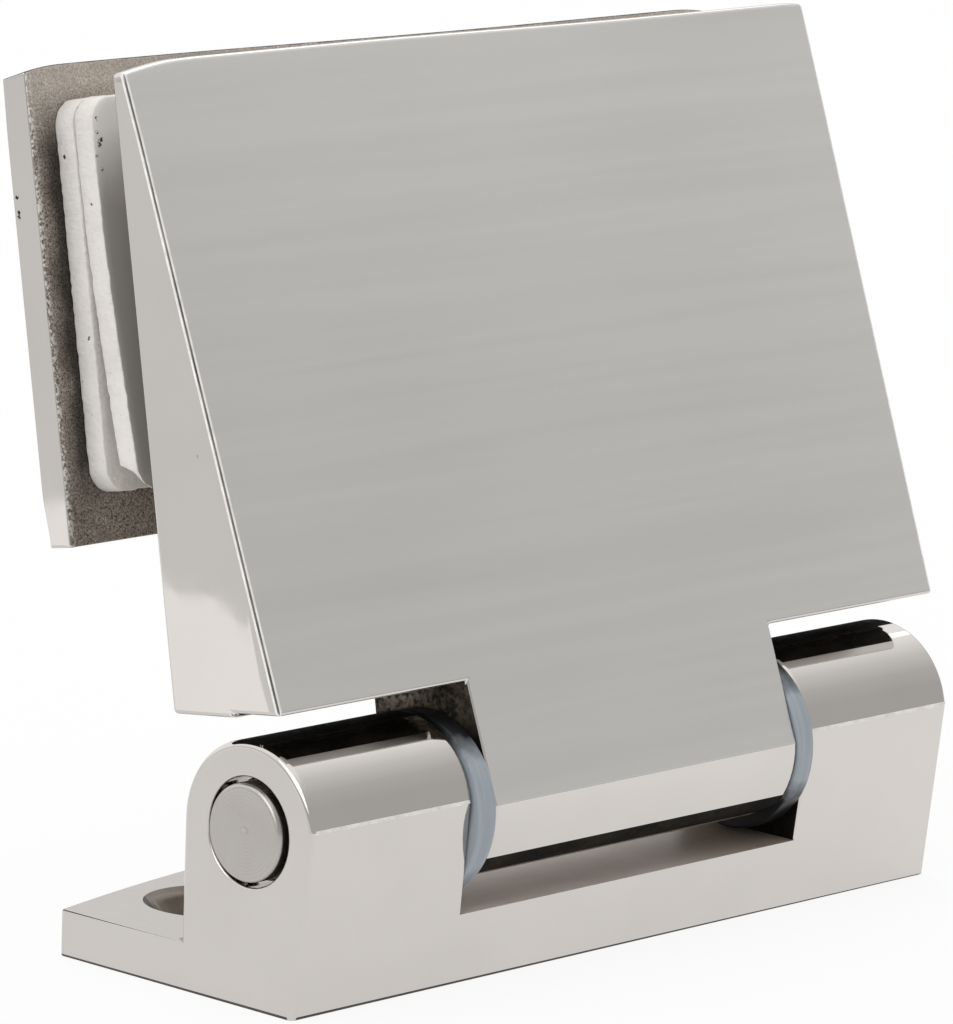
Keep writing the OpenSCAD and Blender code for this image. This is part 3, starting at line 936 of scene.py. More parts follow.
def row_of(tree, geometry, sizes, end):
    """Repeats a geometry along X at the tree's Count and Spacing, realizes it and sets its material."""
    gaps = math_node(tree, "SUBTRACT", sizes["Count"], 1.0)
    span = product(tree, sizes["Spacing"], gaps)
    start = product(tree, span, -0.5)
    first = add_node(tree, "ShaderNodeCombineXYZ", {"X": start})
    step = add_node(tree, "ShaderNodeCombineXYZ", {"X": sizes["Spacing"]})
    line = add_node(
        tree,
        "GeometryNodeMeshLine",
        {
            "Count": sizes["Count"],
            "Start Location": first.outputs["Vector"],
            "Offset": step.outputs["Vector"],
        },
    )
    copies = add_node(
        tree, "GeometryNodeInstanceOnPoints", {"Points": line.outputs["Mesh"], "Instance": geometry}
    )
    real = add_node(tree, "GeometryNodeRealizeInstances", {"Geometry": copies.outputs["Instances"]})
    dressed = add_node(
        tree, "GeometryNodeSetMaterial", {"Geometry": real.outputs["Geometry"], "Material": sizes["Material"]}
    )
    tree.links.new(dressed.outputs["Geometry"], end.inputs["Geometry"])


def ring_row_tree():
    """A row of rings: a rounded rectangle swept round a circle, turned and repeated along X."""
    tree, sizes, end = new_tree(
        "ring_row",
        (
            ("Inner Radius", "Float"),
            ("Outer Radius", "Float"),
            ("Length", "Float"),
            ("Edge Round", "Float"),
            ("Turn", "Rotation"),
            ("Sides", "Int"),
            ("Count", "Int"),
            ("Spacing", "Float"),
            ("Material", "Material"),
        ),
    )
    wall = math_node(tree, "SUBTRACT", sizes["Outer Radius"], sizes["Inner Radius"])
    both = math_node(tree, "ADD", sizes["Outer Radius"], sizes["Inner Radius"])
    middle = product(tree, both, 0.5)
    path = add_node(
        tree,
        "GeometryNodeCurvePrimitiveCircle",
        {"Resolution": sizes["Sides"], "Radius": middle},
        mode="RADIUS",
    )
    section = add_node(
        tree,
        "GeometryNodeCurvePrimitiveQuadrilateral",
        {"Width": wall, "Height": sizes["Length"]},
        mode="RECTANGLE",
    )
    rounded = add_node(
        tree,
        "GeometryNodeFilletCurve",
        {"Curve": section.outputs["Curve"], "Count": 4, "Radius": sizes["Edge Round"]},
        mode="POLY",
    )
    ring = add_node(
        tree,
        "GeometryNodeCurveToMesh",
        {"Curve": path.outputs["Curve"], "Profile Curve": rounded.outputs["Curve"]},
    )
    turned = add_node(
        tree, "GeometryNodeTransform", {"Geometry": ring.outputs["Mesh"], "Rotation": sizes["Turn"]}
    )
    row_of(tree, turned.outputs["Geometry"], sizes, end)
    return tree


def screw_row_tree():
    """A row of screws: one turned body with a thread wound round it, repeated along X."""
    tree, sizes, end = new_tree(
        "screw_row",
        (
            ("Body", "Object"),
            ("Thread Root", "Float"),
            ("Thread Depth", "Float"),
            ("Thread Pitch", "Float"),
            ("Thread Start", "Float"),
            ("Thread Length", "Float"),
            ("Count", "Int"),
            ("Spacing", "Float"),
            ("Material", "Material"),
        ),
    )
    body = add_node(tree, "GeometryNodeObjectInfo", {"Object": sizes["Body"]})
    turns = math_node(tree, "DIVIDE", sizes["Thread Length"], sizes["Thread Pitch"])
    helix = add_node(
        tree,
        "GeometryNodeCurveSpiral",
        {
            "Resolution": 32,
            "Rotations": turns,
            "Start Radius": sizes["Thread Root"],
            "End Radius": sizes["Thread Root"],
            "Height": sizes["Thread Length"],
        },
    )
    ridge = add_node(
        tree,
        "GeometryNodeCurvePrimitiveCircle",
        {"Resolution": 6, "Radius": sizes["Thread Depth"]},
        mode="RADIUS",
    )
    thread = add_node(
        tree,
        "GeometryNodeCurveToMesh",
        {"Curve": helix.outputs["Curve"], "Profile Curve": ridge.outputs["Curve"], "Fill Caps": True},
    )
    lift = add_node(tree, "ShaderNodeCombineXYZ", {"Z": sizes["Thread Start"]})
    wound = add_node(
        tree,
        "GeometryNodeTransform",
        {"Geometry": thread.outputs["Mesh"], "Translation": lift.outputs["Vector"]},
    )
    whole = add_node(tree, "GeometryNodeJoinGeometry")
    tree.links.new(body.outputs["Geometry"], whole.inputs["Geometry"])
    tree.links.new(wound.outputs["Geometry"], whole.inputs["Geometry"])
    upright = add_node(
        tree,
        "GeometryNodeTransform",
        {"Geometry": whole.outputs["Geometry"], "Rotation": (math.radians(-90), 0.0, 0.0)},
    )
    row_of(tree, upright.outputs["Geometry"], sizes, end)
    return tree


def grown_mesh(tree, values, name, place):
    """Runs a tree once and returns its result as a plain mesh, moved to its place."""
    holder = bpy.data.objects.new(name + "_holder", bpy.data.meshes.new(name + "_holder"))
    bpy.context.scene.collection.objects.link(holder)
    modifier = holder.modifiers.new("grow", "NODES")
    modifier.node_group = tree
    for item in tree.interface.items_tree:
        if item.in_out == "INPUT":
            modifier[item.identifier] = values[item.name]
    graph = bpy.context.evaluated_depsgraph_get()
    mesh = bpy.data.meshes.new_from_object(holder.evaluated_get(graph), depsgraph=graph)
    holder.modifiers.clear()
    bpy.data.objects.remove(holder)
    mesh.name = name
    mesh.transform(place)
    shape = bmesh.new()
    shape.from_mesh(mesh)
    bmesh.ops.remove_doubles(shape, verts=shape.verts, dist=MERGE_DISTANCE)
    bmesh.ops.recalc_face_normals(shape, faces=shape.faces)
    return settle(shape, mesh)


# Pieces


class BRACKET_OT_base(bpy.types.Operator):
    """Finish the cast base: broken edges, a polished outside and a rough slot"""

    bl_idname = "bracket.base"
    bl_label = "Base casting"

    def execute(self, context):
        sizes = context.scene.bracket_sizes
        slot_half = -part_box("washer_left")[0].x
        slot_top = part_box("washer_left")[0].z
        shape = node_shape("base_bracket")
        screws = next(mount for mount in frame["record"]["mounts"] if mount["name"] == "wall_screws")
        hole_x = screws["dims"]["spacing_x_mm"] / 2.0 * MM
        holes = [Vector((x, screws["pos_m"][1], 0.0)) for x in (-hole_x, hole_x)]
        floor_end = 9.0 * MM
        rim_facing = 0.4
        pin_low, pin_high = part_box("hinge_pin")
        bore = (pin_high.z - pin_low.z) / 2.0 + 0.4 * MM
        front = min(shape.verts, key=lambda vertex: vertex.co.y).co
        crease, crease_front = front.z, front.y
        break_edges(shape, sizes.front_edge, segments=4, leave=lambda edge: not is_front_corner(edge, crease))
        break_edges(shape, sizes.edge_break, leave=lambda edge: is_step(edge, crease))
        strip_ends = (crease - sizes.crease_strip, crease + sizes.crease_strip)
        slice_shape(shape, Vector((0.0, 0.0, 1.0)), [Vector((0.0, 0.0, height)) for height in strip_ends])
        looks = [
            mirror_steel,
            slot_brown,
            cast_steel,
            scale_and_painted_reflection,
            satin_steel,
            painted_highlight_line,
            dark_line_and_contact_shadow,
            hole_brown,
        ]
        for face in shape.faces:
            middle = face.calc_center_median()
            reach = math.hypot(middle.y - HINGE.y, middle.z - HINGE.z)
            between = abs(middle.x) < slot_half + sizes.edge_break
            floor = face.normal.z > FACING and between and middle.z < slot_top and middle.y < floor_end
            inner = abs(face.normal.x) > FACING and between and middle.z < HINGE.z * 2.0
            # Painted contact shadow: the foot's edge gets a dark line.
            foot = -FACING < face.normal.z < -0.05 and middle.z < sizes.edge_break
            # Painted reflection: the ears' upper faces get black scale standing in for the reflected wing
            # undersides.
            painted_reflection_shoulder = face.normal.z > FACING and face.normal.y > -SLIGHTLY and middle.z > HINGE.z
            in_bore = reach < bore and abs(face.normal.x) < HALF_FACING
            # Painted highlight: a bright line is painted along the crease.
            at_crease = abs(middle.z - crease) < sizes.crease_strip and abs(face.normal.x) < SLANTED
            strip = at_crease and middle.y < crease_front + sizes.crease_strip
            outward = abs(face.normal.x) > rim_facing
            plate_rim = outward and face.normal.z > rim_facing and middle.z < slot_top
            in_hole = max(hole_way(face, centre) for centre in holes) > SLANTED
            wall_plate = face.normal.z > FACING and middle.z < slot_top and not floor
            look = cast_steel if face.normal.z < -FACING else mirror_steel
            if foot or plate_rim:
                look = dark_line_and_contact_shadow
            elif in_hole:
                look = hole_brown
            elif inner or painted_reflection_shoulder or in_bore:
                look = scale_and_painted_reflection
            elif strip:
                look = painted_highlight_line
            elif wall_plate:
                look = satin_steel
            elif floor:
                look = slot_brown
            face.material_index = looks.index(look)
        add_casting("base_casting", shape, "bracket", "base_bracket", looks)
        return {"FINISHED"}


class BRACKET_OT_leaf(bpy.types.Operator):
    """Finish the leaf: a brushed face, bevelled edges, rolled corners and a rough back"""

    bl_idname = "bracket.leaf"
    bl_label = "Front leaf"

    def execute(self, context):
        sizes = context.scene.bracket_sizes
        low, high = leaf_box("front_leaf")
        tongue_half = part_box("washer_right")[0].x
        shape = node_shape("front_leaf")
        wings = [ROOM_TO_LEAF @ vertex.co for vertex in shape.verts if abs(vertex.co.x) > 1.5 * tongue_half]
        wing_low = min(place.z for place in wings)
        riser_start = low.x + 4.0 * MM
        riser_height = 1.2 * MM
        wing_gap = 10.0 * MM
        band_low, band_high = -0.86, -0.53
        belly_facing = -0.6
        barrel_reach = -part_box("washer_left")[0].y
        planes = crease_planes(shape, sizes.crease_strip)
        lip_place = LEAF_TO_ROOM @ Vector((0.0, -sizes.wing_lip, 0.0))
        planes.append((lip_place, LEAF_TO_ROOM.to_3x3() @ Vector((0.0, 1.0, 0.0))))
        break_edges(shape, sizes.leaf_edge)
        for point, normal in planes:
            slice_shape(shape, normal, [point])
        steps = 7
        insets = [sizes.roll_reach * (step + 1) / steps for step in range(steps)]
        for side, end in ((1.0, low.x), (-1.0, high.x)):
            slice_columns(shape, [end + side * inset for inset in insets])
        slice_rows(shape, [high.z - inset for inset in insets])
        slice_columns(shape, [riser_start])
        slice_columns(shape, spread(low.x, high.x, 24))
        bow_leaf(shape, low, high, sizes)
        roll_corner(shape, Vector((low.x, 0.0, high.z)), sizes.roll_reach, sizes.leaf_roll, sizes.roll_reach)
        roll_corner(shape, high, 0.5 * sizes.roll_reach, 0.4 * sizes.leaf_roll, sizes.roll_reach)
        turn = ROOM_TO_LEAF.to_3x3()
        looks = [mirror_steel, brushed_steel, cast_steel, scale_and_painted_reflection, painted_dark_bevel, painted_highlight_line]
        for face in shape.faces:
            middle = ROOM_TO_LEAF @ face.calc_center_median()
            facing = turn @ face.normal
            rear = facing.y > FACING and middle.z > 0.0
            below = facing.z < -FACING and middle.z > high.y
            under = below and middle.y > -sizes.wing_lip
            cheek = abs(facing.x) > FACING and abs(middle.x) < tongue_half + sizes.leaf_edge
            near = wing_low - sizes.leaf_edge < middle.z < wing_low + riser_height
            near = near and riser_start < middle.x < high.x - sizes.leaf_edge
            riser = near and middle.y > -sizes.wing_lip and max(facing.y, facing.z) < SLANTED
            round_pin = middle.yz.length < barrel_reach and abs(middle.x) < tongue_half
            # Painted reflection: a stripe of the barrel's underside gets black scale standing in for a dark
            # reflection.
            painted_reflection_band = round_pin and band_low < face.normal.z < band_high and face.normal.y < 0.0
            belly = round_pin and face.normal.z < belly_facing and not painted_reflection_band
            front = facing.y < -FACING and facing.z > 0.1
            outside = abs(middle.x) > tongue_half + wing_gap and middle.z > high.y
            turned_out = min(abs(facing.x), -facing.y) if outside else 0.0
            look = brushed_steel if front or below else mirror_steel
            # Painted reflection and highlight: bevels of the wings turned outward and forward get a dark line,
            # shallower ones a bright line.
            if turned_out > HALF_FACING:
                look = painted_dark_bevel
            elif turned_out > SLIGHTLY:
                look = painted_highlight_line
            elif under or cheek or riser or painted_reflection_band:
                look = scale_and_painted_reflection
            elif rear or belly:
                look = cast_steel
            face.material_index = looks.index(look)
        lift_belly(shape, tongue_half, barrel_reach, sizes.belly_lift)
        brush = shape.loops.layers.uv.new(BRUSH_MAP)
        for face in shape.faces:
            for corner in face.loops:
                place = ROOM_TO_LEAF @ corner.vert.co
                corner[brush].uv = (place.z - low.z, place.x - low.x)
        add_casting("leaf_casting", shape, "leaf", "front_leaf", looks)
        return {"FINISHED"}


class BRACKET_OT_rear_plate(bpy.types.Operator):
    """Finish the rear plate: polished outside, rough and grainy inside, with rolled corners"""

    bl_idname = "bracket.rear_plate"
    bl_label = "Rear plate"

    def execute(self, context):
        sizes = context.scene.bracket_sizes
        low, high = leaf_box("rear_plate")
        shape = node_shape("rear_plate")
        break_edges(shape, sizes.plate_edge)
        slice_columns(shape, spread(low.x, high.x, 120))
        slice_rows(shape, spread(low.z, high.z, 64))
        turn = ROOM_TO_LEAF.to_3x3()
        looks = [mirror_steel, cast_steel, dark_line_and_contact_shadow]
        rough = set()
        for face in shape.faces:
            facing = turn @ face.normal
            inside = facing.y < -FACING
            # Dark line along the plate's top.
            if facing.z > HALF_FACING:
                face.material_index = looks.index(dark_line_and_contact_shadow)
            elif inside:
                face.material_index = looks.index(cast_steel)
            if inside:
                rough.update(face.verts)
        shape.normal_update()
        roughen(list(rough), sizes.cast_rough, 900.0, 1.7)
        for corner in (low.x, high.x):
            top = Vector((corner, 0.0, high.z))
            roll_corner(shape, top, sizes.plate_reach, sizes.plate_roll, sizes.roll_reach)
        bow_plate(shape, low, high, sizes)
        add_casting("rear_clamp_plate", shape, "leaf", "rear_plate", looks)
        return {"FINISHED"}


def gasket_outline(low, high, corner, spacing):
    """Points round a gasket's outline, in X and Z of the leaf's frame, with arcs at its corners."""
    points = []
    centres = (
        (high.x - corner, high.z - corner),
        (low.x + corner, high.z - corner),
        (low.x + corner, low.z + corner),
        (high.x - corner, low.z + corner),
    )
    steps = 8
    for quarter, (x, z) in enumerate(centres):
        for step in range(steps + 1):
            turn = math.pi / 2.0 * (quarter + step / steps)
            points.append(Vector((x + corner * math.cos(turn), 0.0, z + corner * math.sin(turn))))
    spaced = []
    for point, after in zip(points, points[1:] + points[:1]):
        count = max(1, round((after - point).length / spacing))
        spaced.extend(point.lerp(after, step / count) for step in range(count))
    return spaced


def gasket_shape(low, high, hole_places, hole_radius, sizes, seed):
    """A gasket sheet in the leaf's frame, with slightly uneven cut edges."""
    shape = bmesh.new()
    jitter = 0.12 * MM
    noise.seed_set(int(seed))
    outline = gasket_outline(low, high, sizes.gasket_corner, 0.55 * MM)
    loops = []
    for point in outline:
        shake = noise.noise_vector(point * 1900.0 + Vector((seed, seed, seed))) * jitter
        loops.append(shape.verts.new((point.x + shake.x, low.y, point.z + shake.z)))
    edges = [shape.edges.new(pair) for pair in zip(loops, loops[1:] + loops[:1])]
    sides = 32
    for x, z in hole_places:
        ring = []
        for step in range(sides):
            turn = 2.0 * math.pi * step / sides
            place = (x + hole_radius * math.cos(turn), low.y, z + hole_radius * math.sin(turn))
            ring.append(shape.verts.new(place))
        edges += [shape.edges.new(pair) for pair in zip(ring, ring[1:] + ring[:1])]
    bmesh.ops.triangle_fill(shape, use_beauty=True, edges=edges)
    grown = bmesh.ops.extrude_face_region(shape, geom=shape.faces[:])
    moved = [item for item in grown["geom"] if isinstance(item, bmesh.types.BMVert)]
    bmesh.ops.translate(shape, verts=moved, vec=(0.0, high.y - low.y, 0.0))
    bmesh.ops.recalc_face_normals(shape, faces=shape.faces)
    bmesh.ops.dissolve_limit(
        shape, angle_limit=FLAT_ANGLE, use_dissolve_boundaries=False, verts=shape.verts, edges=shape.edges
    )
    break_edges(shape, sizes.gasket_edge, segments=2)
    slice_columns(shape, spread(low.x, high.x, 60))
    heights = [Vector((0.0, 0.0, height)) for height in spread(low.z, high.z, 30)]
    slice_shape(shape, Vector((0.0, 0.0, 1.0)), heights)
    return shape


class BRACKET_OT_gaskets(bpy.types.Operator):
    """Make both gaskets: one against the rear plate, and a loose one that bends away and is torn"""

    bl_idname = "bracket.gaskets"
    bl_label = "Gaskets"

    def execute(self, context):
        sizes = context.scene.bracket_sizes
        low, high = leaf_box("gasket_rear")
        sleeves = [leaf_box(node) for node in ("sleeve_left", "sleeve_right")]
        places = [((a.x + b.x) / 2.0, (a.z + b.z) / 2.0) for a, b in sleeves]
        hole_radius = (sleeves[0][1].x - sleeves[0][0].x) / 2.0 + 0.4 * MM
        thickness = high.y - low.y
        tear_width = 7.0 * MM
        tear_share = 0.12
        wave_height = 0.08 * MM
        turn = ROOM_TO_LEAF.to_3x3()
        looks = [gasket_sheet, gasket_shaded]
        pairs = (("gasket_seated", "gasket_rear"), ("gasket_loose", "gasket_front"))
        for number, (name, node) in enumerate(pairs):
            shape = gasket_shape(low, high, places, hole_radius, sizes, 3.0 + 5.0 * number)
            for vertex in shape.verts:
                place = vertex.co
                down = (high.z - place.z) / (high.z - low.z)
                through = (high.y - place.y) / thickness
                if number == 1:
                    left = 1.0 - smooth_step((place.x - low.x) / tear_width)
                    foot = smooth_step((tear_share - (1.0 - down)) / tear_share)
                    ragged = 1.0 + 0.9 * noise.noise(place * 1300.0)
                    place.z += sizes.gasket_tear * left * foot * (1.0 - through) * ragged
                    place.y -= thickness + 0.1 * MM + sizes.gasket_gap * down * down
                wave = wave_height * noise.noise(Vector((place.x, 0.0, place.z)) * 60.0)
                place.y -= abs(wave) if number == 0 else wave + wave_height
                vertex.co = LEAF_TO_ROOM @ place
            shape.normal_update()
            for face in shape.faces:
                face.material_index = 1 if (turn @ face.normal).y < -FACING and number == 1 else 0
            mesh = plain_mesh(shape, name)
            add_piece(name, mesh, "leaf", [node], finishes(looks[: number + 1]))
        return {"FINISHED"}


class BRACKET_OT_pin(bpy.types.Operator):
    """Turn the hinge pin, with rounded ends and a small nub in the middle of each end"""

    bl_idname = "bracket.pin"
    bl_label = "Hinge pin"

    def execute(self, context):
        sizes = context.scene.bracket_sizes
        low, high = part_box("hinge_pin")
        radius = (high.z - low.z) / 2.0
        half = (high.x - low.x) / 2.0
        edge = 0.5 * MM
        dish = 0.08 * MM
        nub = sizes.pin_nub
        face = [(half - dish, 0.45 * radius), (half - 1.4 * dish, 2.0 * nub)]
        tip = [(half - 1.4 * dish, nub), (half, 0.7 * nub), (half + 0.2 * dish, 0.3 * nub)]
        upper = rounded_corner(half, radius, edge) + face + tip
        lower = [(-height, reach) for height, reach in reversed(upper)]
        shape = turned_shape(lower + upper, sizes.turned_sides)
        shape.transform(PIN_TO_ROOM)
        mesh = plain_mesh(shape, "hinge_pin_turned")
        add_piece("hinge_pin_turned", mesh, "leaf", ["hinge_pin"], finishes([pin_steel]))
        return {"FINISHED"}


class BRACKET_OT_washers(bpy.types.Operator):
    """Make the two nylon washers beside the tongue"""

    bl_idname = "bracket.washers"
    bl_label = "Washers"

    def execute(self, context):
        sizes = context.scene.bracket_sizes
        low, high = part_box("washer_right")
        pin_low, pin_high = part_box("hinge_pin")
        sag = Vector((0.0, -sizes.washer_forward, -sizes.washer_sag))
        values = {
            "Inner Radius": (pin_high.z - pin_low.z) / 2.0 + sag.length + 0.05 * MM,
            "Outer Radius": (high.z - low.z) / 2.0 + sag.y,
            "Length": high.x - low.x,
            "Edge Round": sizes.washer_edge,
            "Turn": (0.0, math.radians(90), 0.0),
            "Sides": sizes.turned_sides,
            "Count": 2,
            "Spacing": low.x + high.x,
            "Material": finishes([washer_finish])[0],
        }
        mesh = grown_mesh(ring_row_tree(), values, "thrust_washers", Matrix.Translation(HINGE + sag))
        add_piece("thrust_washers", mesh, "bracket", ["washer_left", "washer_right"])
        return {"FINISHED"}


class BRACKET_OT_sleeves(bpy.types.Operator):
    """Make the two plastic sleeves round the clamp screws"""

    bl_idname = "bracket.sleeves"
    bl_label = "Sleeves"

    def execute(self, context):
        sizes = context.scene.bracket_sizes
        low, high = leaf_box("sleeve_right")
        radius = (high.x - low.x) / 2.0
        wall = 1.35 * MM
        values = {
            "Inner Radius": radius - wall,
            "Outer Radius": radius,
            "Length": high.y - low.y,
            "Edge Round": sizes.washer_edge,
            "Turn": (math.radians(90), 0.0, 0.0),
            "Sides": sizes.turned_sides // 2,
            "Count": 2,
            "Spacing": low.x + high.x,
            "Material": finishes([sleeve_plastic])[0],
        }
        centre = Vector((0.0, (low.y + high.y) / 2.0, (low.z + high.z) / 2.0))
        place = LEAF_TO_ROOM @ Matrix.Translation(centre)
        mesh = grown_mesh(ring_row_tree(), values, "screw_sleeves", place)
        add_piece("screw_sleeves", mesh, "leaf", ["sleeve_left", "sleeve_right"])
        return {"FINISHED"}


def screw_row(name, rings, sizes, thread, count, spacing, place):
    """A row of screws from the rings of one body and its thread's (start, length, crest)."""
    start, run, crest = thread
    body_mesh = plain_mesh(turned_shape(rings, sizes.turned_sides // 2), name + "_body")
    body = bpy.data.objects.new(name + "_body", body_mesh)
    bpy.context.scene.collection.objects.link(body)
    values = {
        "Body": body,
        "Thread Root": crest - sizes.thread_depth,
        "Thread Depth": sizes.thread_depth,
        "Thread Pitch": sizes.thread_pitch,
        "Thread Start": start,
        "Thread Length": run,
        "Count": count,
        "Spacing": spacing,
        "Material": finishes([screw_finish])[0],
    }
    mesh = grown_mesh(screw_row_tree(), values, name, place)
    bpy.data.objects.remove(body)
    return mesh


class BRACKET_OT_clamp_screws(bpy.types.Operator):
    """Make the two countersunk clamp screws"""

    bl_idname = "bracket.clamp_screws"
    bl_label = "Clamp screws"

    def execute(self, context):
        sizes = context.scene.bracket_sizes
        low, high = leaf_box("clamp_screws")
        sleeve_low, sleeve_high = leaf_box("sleeve_right")
        spacing = sleeve_low.x + sleeve_high.x
        head = (high.x - low.x - spacing) / 2.0
        run = high.y - low.y
        shank = 2.5 * MM
        rim = 0.3 * MM
        lead = 0.5 * MM
        soft = 0.12 * MM
        root = shank - sizes.thread_depth
        cone = rim + head - shank
        smooth = run - 9.0 * MM
        hexagon = sizes.socket_flats / 2.0
        floor = run - sizes.socket_depth
        rings = [(0.0, root - lead), (lead, root), (smooth, root), (smooth, shank)]
        rings += [(run - cone, shank), (run - rim, head), (run - soft, head), (run, head - soft)]
        rings += [(run, hexagon + 2.0 * soft), (run - soft, hexagon, True), (floor, hexagon, True)]
        rings.append((floor - lead, 0.1 * hexagon))
        thread = (lead, smooth - 2.0 * lead, shank)
        place = LEAF_TO_ROOM @ Matrix.Translation((0.0, low.y, (low.z + high.z) / 2.0))
        mesh = screw_row("clamp_screw_pair", rings, sizes, thread, 2, spacing, place)
        add_piece("clamp_screw_pair", mesh, "leaf", ["clamp_screws"])
        return {"FINISHED"}


class BRACKET_OT_grub_screw(bpy.types.Operator):
    """Make the grub screw that locks the pin in the tongue"""

    bl_idname = "bracket.grub_screw"
    bl_label = "Grub screw"

    def execute(self, context):
        sizes = context.scene.bracket_sizes
        low, high = leaf_box("pin_grub_screw")
        crest = (high.x - low.x) / 2.0
        run = high.y - low.y
        root = crest - sizes.thread_depth
        hexagon = sizes.socket_flats / 2.0
        soft = 0.1 * MM
        floor = run - sizes.socket_depth
        rings = [(0.0, root - 4.0 * soft), (4.0 * soft, root), (run - soft, root), (run, root - soft)]
        rings += [(run, hexagon + 2.0 * soft), (run - soft, hexagon, True), (floor, hexagon, True)]
        rings.append((floor - 3.0 * soft, 0.1 * hexagon))
        thread = (4.0 * soft, run - 8.0 * soft, crest)
        place = LEAF_TO_ROOM @ Matrix.Translation((0.0, low.y, (low.z + high.z) / 2.0))
        mesh = screw_row("grub_screw", rings, sizes, thread, 1, 0.0, place)
        add_piece("grub_screw", mesh, "leaf", ["pin_grub_screw"])
        return {"FINISHED"}


# Stage


def make_camera(stage):
    """Camera at the photograph's viewing angle."""
    yaw, pitch, roll = stage.camera_yaw, stage.camera_pitch, stage.camera_roll
    back = Vector((-math.sin(yaw) * math.cos(pitch), -math.cos(yaw) * math.cos(pitch), math.sin(pitch)))
    level = Vector((math.cos(yaw), -math.sin(yaw), 0.0))
    rise = back.cross(level)
    right = math.cos(roll) * level + math.sin(roll) * rise
    up = math.cos(roll) * rise - math.sin(roll) * level
    aim = Vector((0.0, 0.0, stage.camera_height))
    eye = aim + back * stage.camera_distance + right * stage.camera_right + up * stage.camera_up
    data = bpy.data.cameras.new("bracket_camera")
    data.lens = stage.lens
    data.clip_start = 0.05
    data.clip_end = 20.0
    camera = bpy.data.objects.new("bracket_camera", data)
    bpy.context.scene.collection.objects.link(camera)
    camera.matrix_world = Matrix.Translation(eye) @ Matrix((right, up, back)).transposed().to_4x4()
    bpy.context.scene.camera = camera


def make_table(stage):
    """Round white table under the bracket."""
    shape = bmesh.new()
    bmesh.ops.create_circle(shape, cap_ends=True, segments=96, radius=stage.table_radius)
    mesh = bpy.data.meshes.new("studio_table")
    shape.to_mesh(mesh)
    shape.free()
    mesh.materials.append(table_white())
    table = bpy.data.objects.new("studio_table", mesh)
    bpy.context.scene.collection.objects.link(table)


def make_softbox(stage, name, turn, height, power):
    """Large soft light that looks at the bracket from one side."""
    data = bpy.data.lights.new(name, "AREA")
    data.shape = "SQUARE"
    data.size = stage.softbox_side
    data.energy = power
    light = bpy.data.objects.new(name, data)
    bpy.context.scene.collection.objects.link(light)
    way = Vector((math.cos(turn) * math.cos(height), math.sin(turn) * math.cos(height), math.sin(height)))
    aim = way.to_track_quat("Z", "Y").to_matrix().to_4x4()
    light.matrix_world = Matrix.Translation(way * stage.softbox_distance) @ aim


def make_card(stage):
    """Reflector card on the table behind the left side, which shows only in the metal."""
    shape = bmesh.new()
    lift = 0.5 * MM
    corners = [(-224, 188), (-224, 134), (-218, 125), (-224, 121), (-221, 115), (-214, 107), (-204, 97)]
    corners += [(-195, 89), (-170, 66), (-140, 45), (-140, 188)]
    shape.faces.new([shape.verts.new((x * MM, y * MM, lift)) for x, y in corners])
    mesh = plain_mesh(shape, "reflector_card")
    material = bpy.data.materials.new("reflector_card")
    material.use_nodes = True
    tree = material.node_tree
    tree.nodes.clear()
    glow = add_node(tree, "ShaderNodeEmission", {"Strength": stage.card_level})
    add_node(tree, "ShaderNodeOutputMaterial", {"Surface": glow.outputs["Emission"]})
    mesh.materials.append(material)
    card = bpy.data.objects.new("reflector_card", mesh)
    card.visible_camera = False
    card.visible_diffuse = False
    card.visible_shadow = False
    bpy.context.scene.collection.objects.link(card)


def make_surround():
    """Pale studio that is greyer towards the horizon, and plain white to the camera."""
    world = bpy.data.worlds.new("studio")
    bpy.context.scene.world = world
    world.use_nodes = True
    tree = world.node_tree
    tree.nodes.clear()
    place = add_node(tree, "ShaderNodeTexCoord")
    bright_way = Vector((0.0, 0.6, 1.0))
    facing = add_node(
        tree, "ShaderNodeVectorMath", {0: place.outputs["Generated"], 1: bright_way}, operation="DOT_PRODUCT"
    )
    height = remap(tree, facing.outputs["Value"], 0.0, 1.0, -0.2, 1.2)
    ramp = add_node(tree, "ShaderNodeValToRGB", {"Fac": height})
    points = ramp.color_ramp.elements
    points[0].position, points[1].position = 0.14, 1.0
    levels = {0.14: 0.54, 0.34: 0.61, 0.52: 0.79, 0.62: 0.97, 0.68: 1.13, 1.0: 1.13}
    for position in list(levels)[1:-1]:
        points.new(position)
    for point in points:
        level = levels[min(levels, key=lambda known: abs(known - point.position))]
        point.color = (level, level, level, 1.0)
    studio = add_node(tree, "ShaderNodeBackground", {"Color": ramp.outputs["Color"], "Strength": 1.0})
    white = add_node(tree, "ShaderNodeBackground", {"Color": (1.0, 1.0, 1.0, 1.0), "Strength": 1.0})
    path = add_node(tree, "ShaderNodeLightPath")
    mixed = add_node(
        tree,
        "ShaderNodeMixShader",
        {0: path.outputs["Is Camera Ray"], 1: studio.outputs["Background"], 2: white.outputs["Background"]},
    )
    add_node(tree, "ShaderNodeOutputWorld", {"Surface": mixed.outputs["Shader"]})


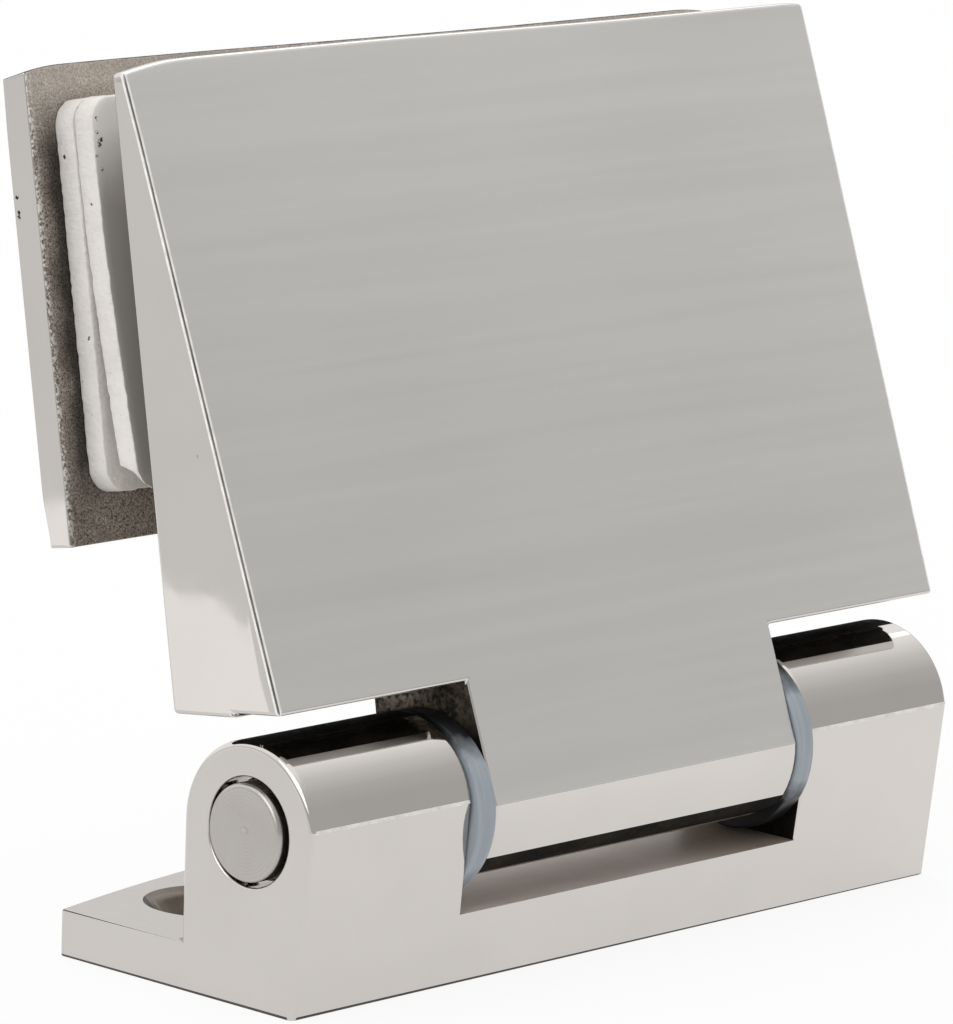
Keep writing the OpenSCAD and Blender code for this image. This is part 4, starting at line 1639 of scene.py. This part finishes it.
class BRACKET_OT_stage(bpy.types.Operator):
    """Set up the camera, the white table and the light"""

    bl_idname = "bracket.stage"
    bl_label = "Stage"

    def execute(self, context):
        stage = context.scene.bracket_stage
        context.scene.view_settings.view_transform = "Standard"
        make_camera(stage)
        make_table(stage)
        make_softbox(stage, "key_softbox", stage.key_turn, stage.key_height, stage.key_power)
        make_softbox(stage, "fill_softbox", stage.fill_turn, stage.fill_height, stage.fill_power)
        make_card(stage)
        make_surround()
        return {"FINISHED"}


STEPS = (
    BRACKET_OT_stage,
    BRACKET_OT_base,
    BRACKET_OT_leaf,
    BRACKET_OT_rear_plate,
    BRACKET_OT_gaskets,
    BRACKET_OT_pin,
    BRACKET_OT_washers,
    BRACKET_OT_sleeves,
    BRACKET_OT_clamp_screws,
    BRACKET_OT_grub_screw,
)


class VIEW3D_PT_bracket(bpy.types.Panel):
    """Sidebar panel with one button for each step"""

    bl_label = "Shower Screen Bracket"
    bl_space_type = "VIEW_3D"
    bl_region_type = "UI"
    bl_category = "Bracket"

    def draw(self, context):
        for step in STEPS:
            self.layout.operator(step.bl_idname)


GROUPS = {
    "bracket_sizes": BracketSizes,
    "bracket_colours": BracketColours,
    "bracket_stage": BracketStage,
}


def register():
    """Registers the settings, the operators and the panel."""
    for name, group in GROUPS.items():
        bpy.utils.register_class(group)
        setattr(bpy.types.Scene, name, PointerProperty(type=group))
    for step in STEPS:
        bpy.utils.register_class(step)
    bpy.utils.register_class(VIEW3D_PT_bracket)


def unregister():
    """Removes what register added."""
    bpy.utils.unregister_class(VIEW3D_PT_bracket)
    for step in reversed(STEPS):
        bpy.utils.unregister_class(step)
    for name, group in reversed(GROUPS.items()):
        delattr(bpy.types.Scene, name)
        bpy.utils.unregister_class(group)


def main():
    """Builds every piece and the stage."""
    register()
    bpy.ops.bracket.stage()
    bpy.ops.bracket.base()
    bpy.ops.bracket.leaf()
    bpy.ops.bracket.rear_plate()
    bpy.ops.bracket.gaskets()
    bpy.ops.bracket.pin()
    bpy.ops.bracket.washers()
    bpy.ops.bracket.sleeves()
    bpy.ops.bracket.clamp_screws()
    bpy.ops.bracket.grub_screw()


if __name__ == "__main__":
    main()
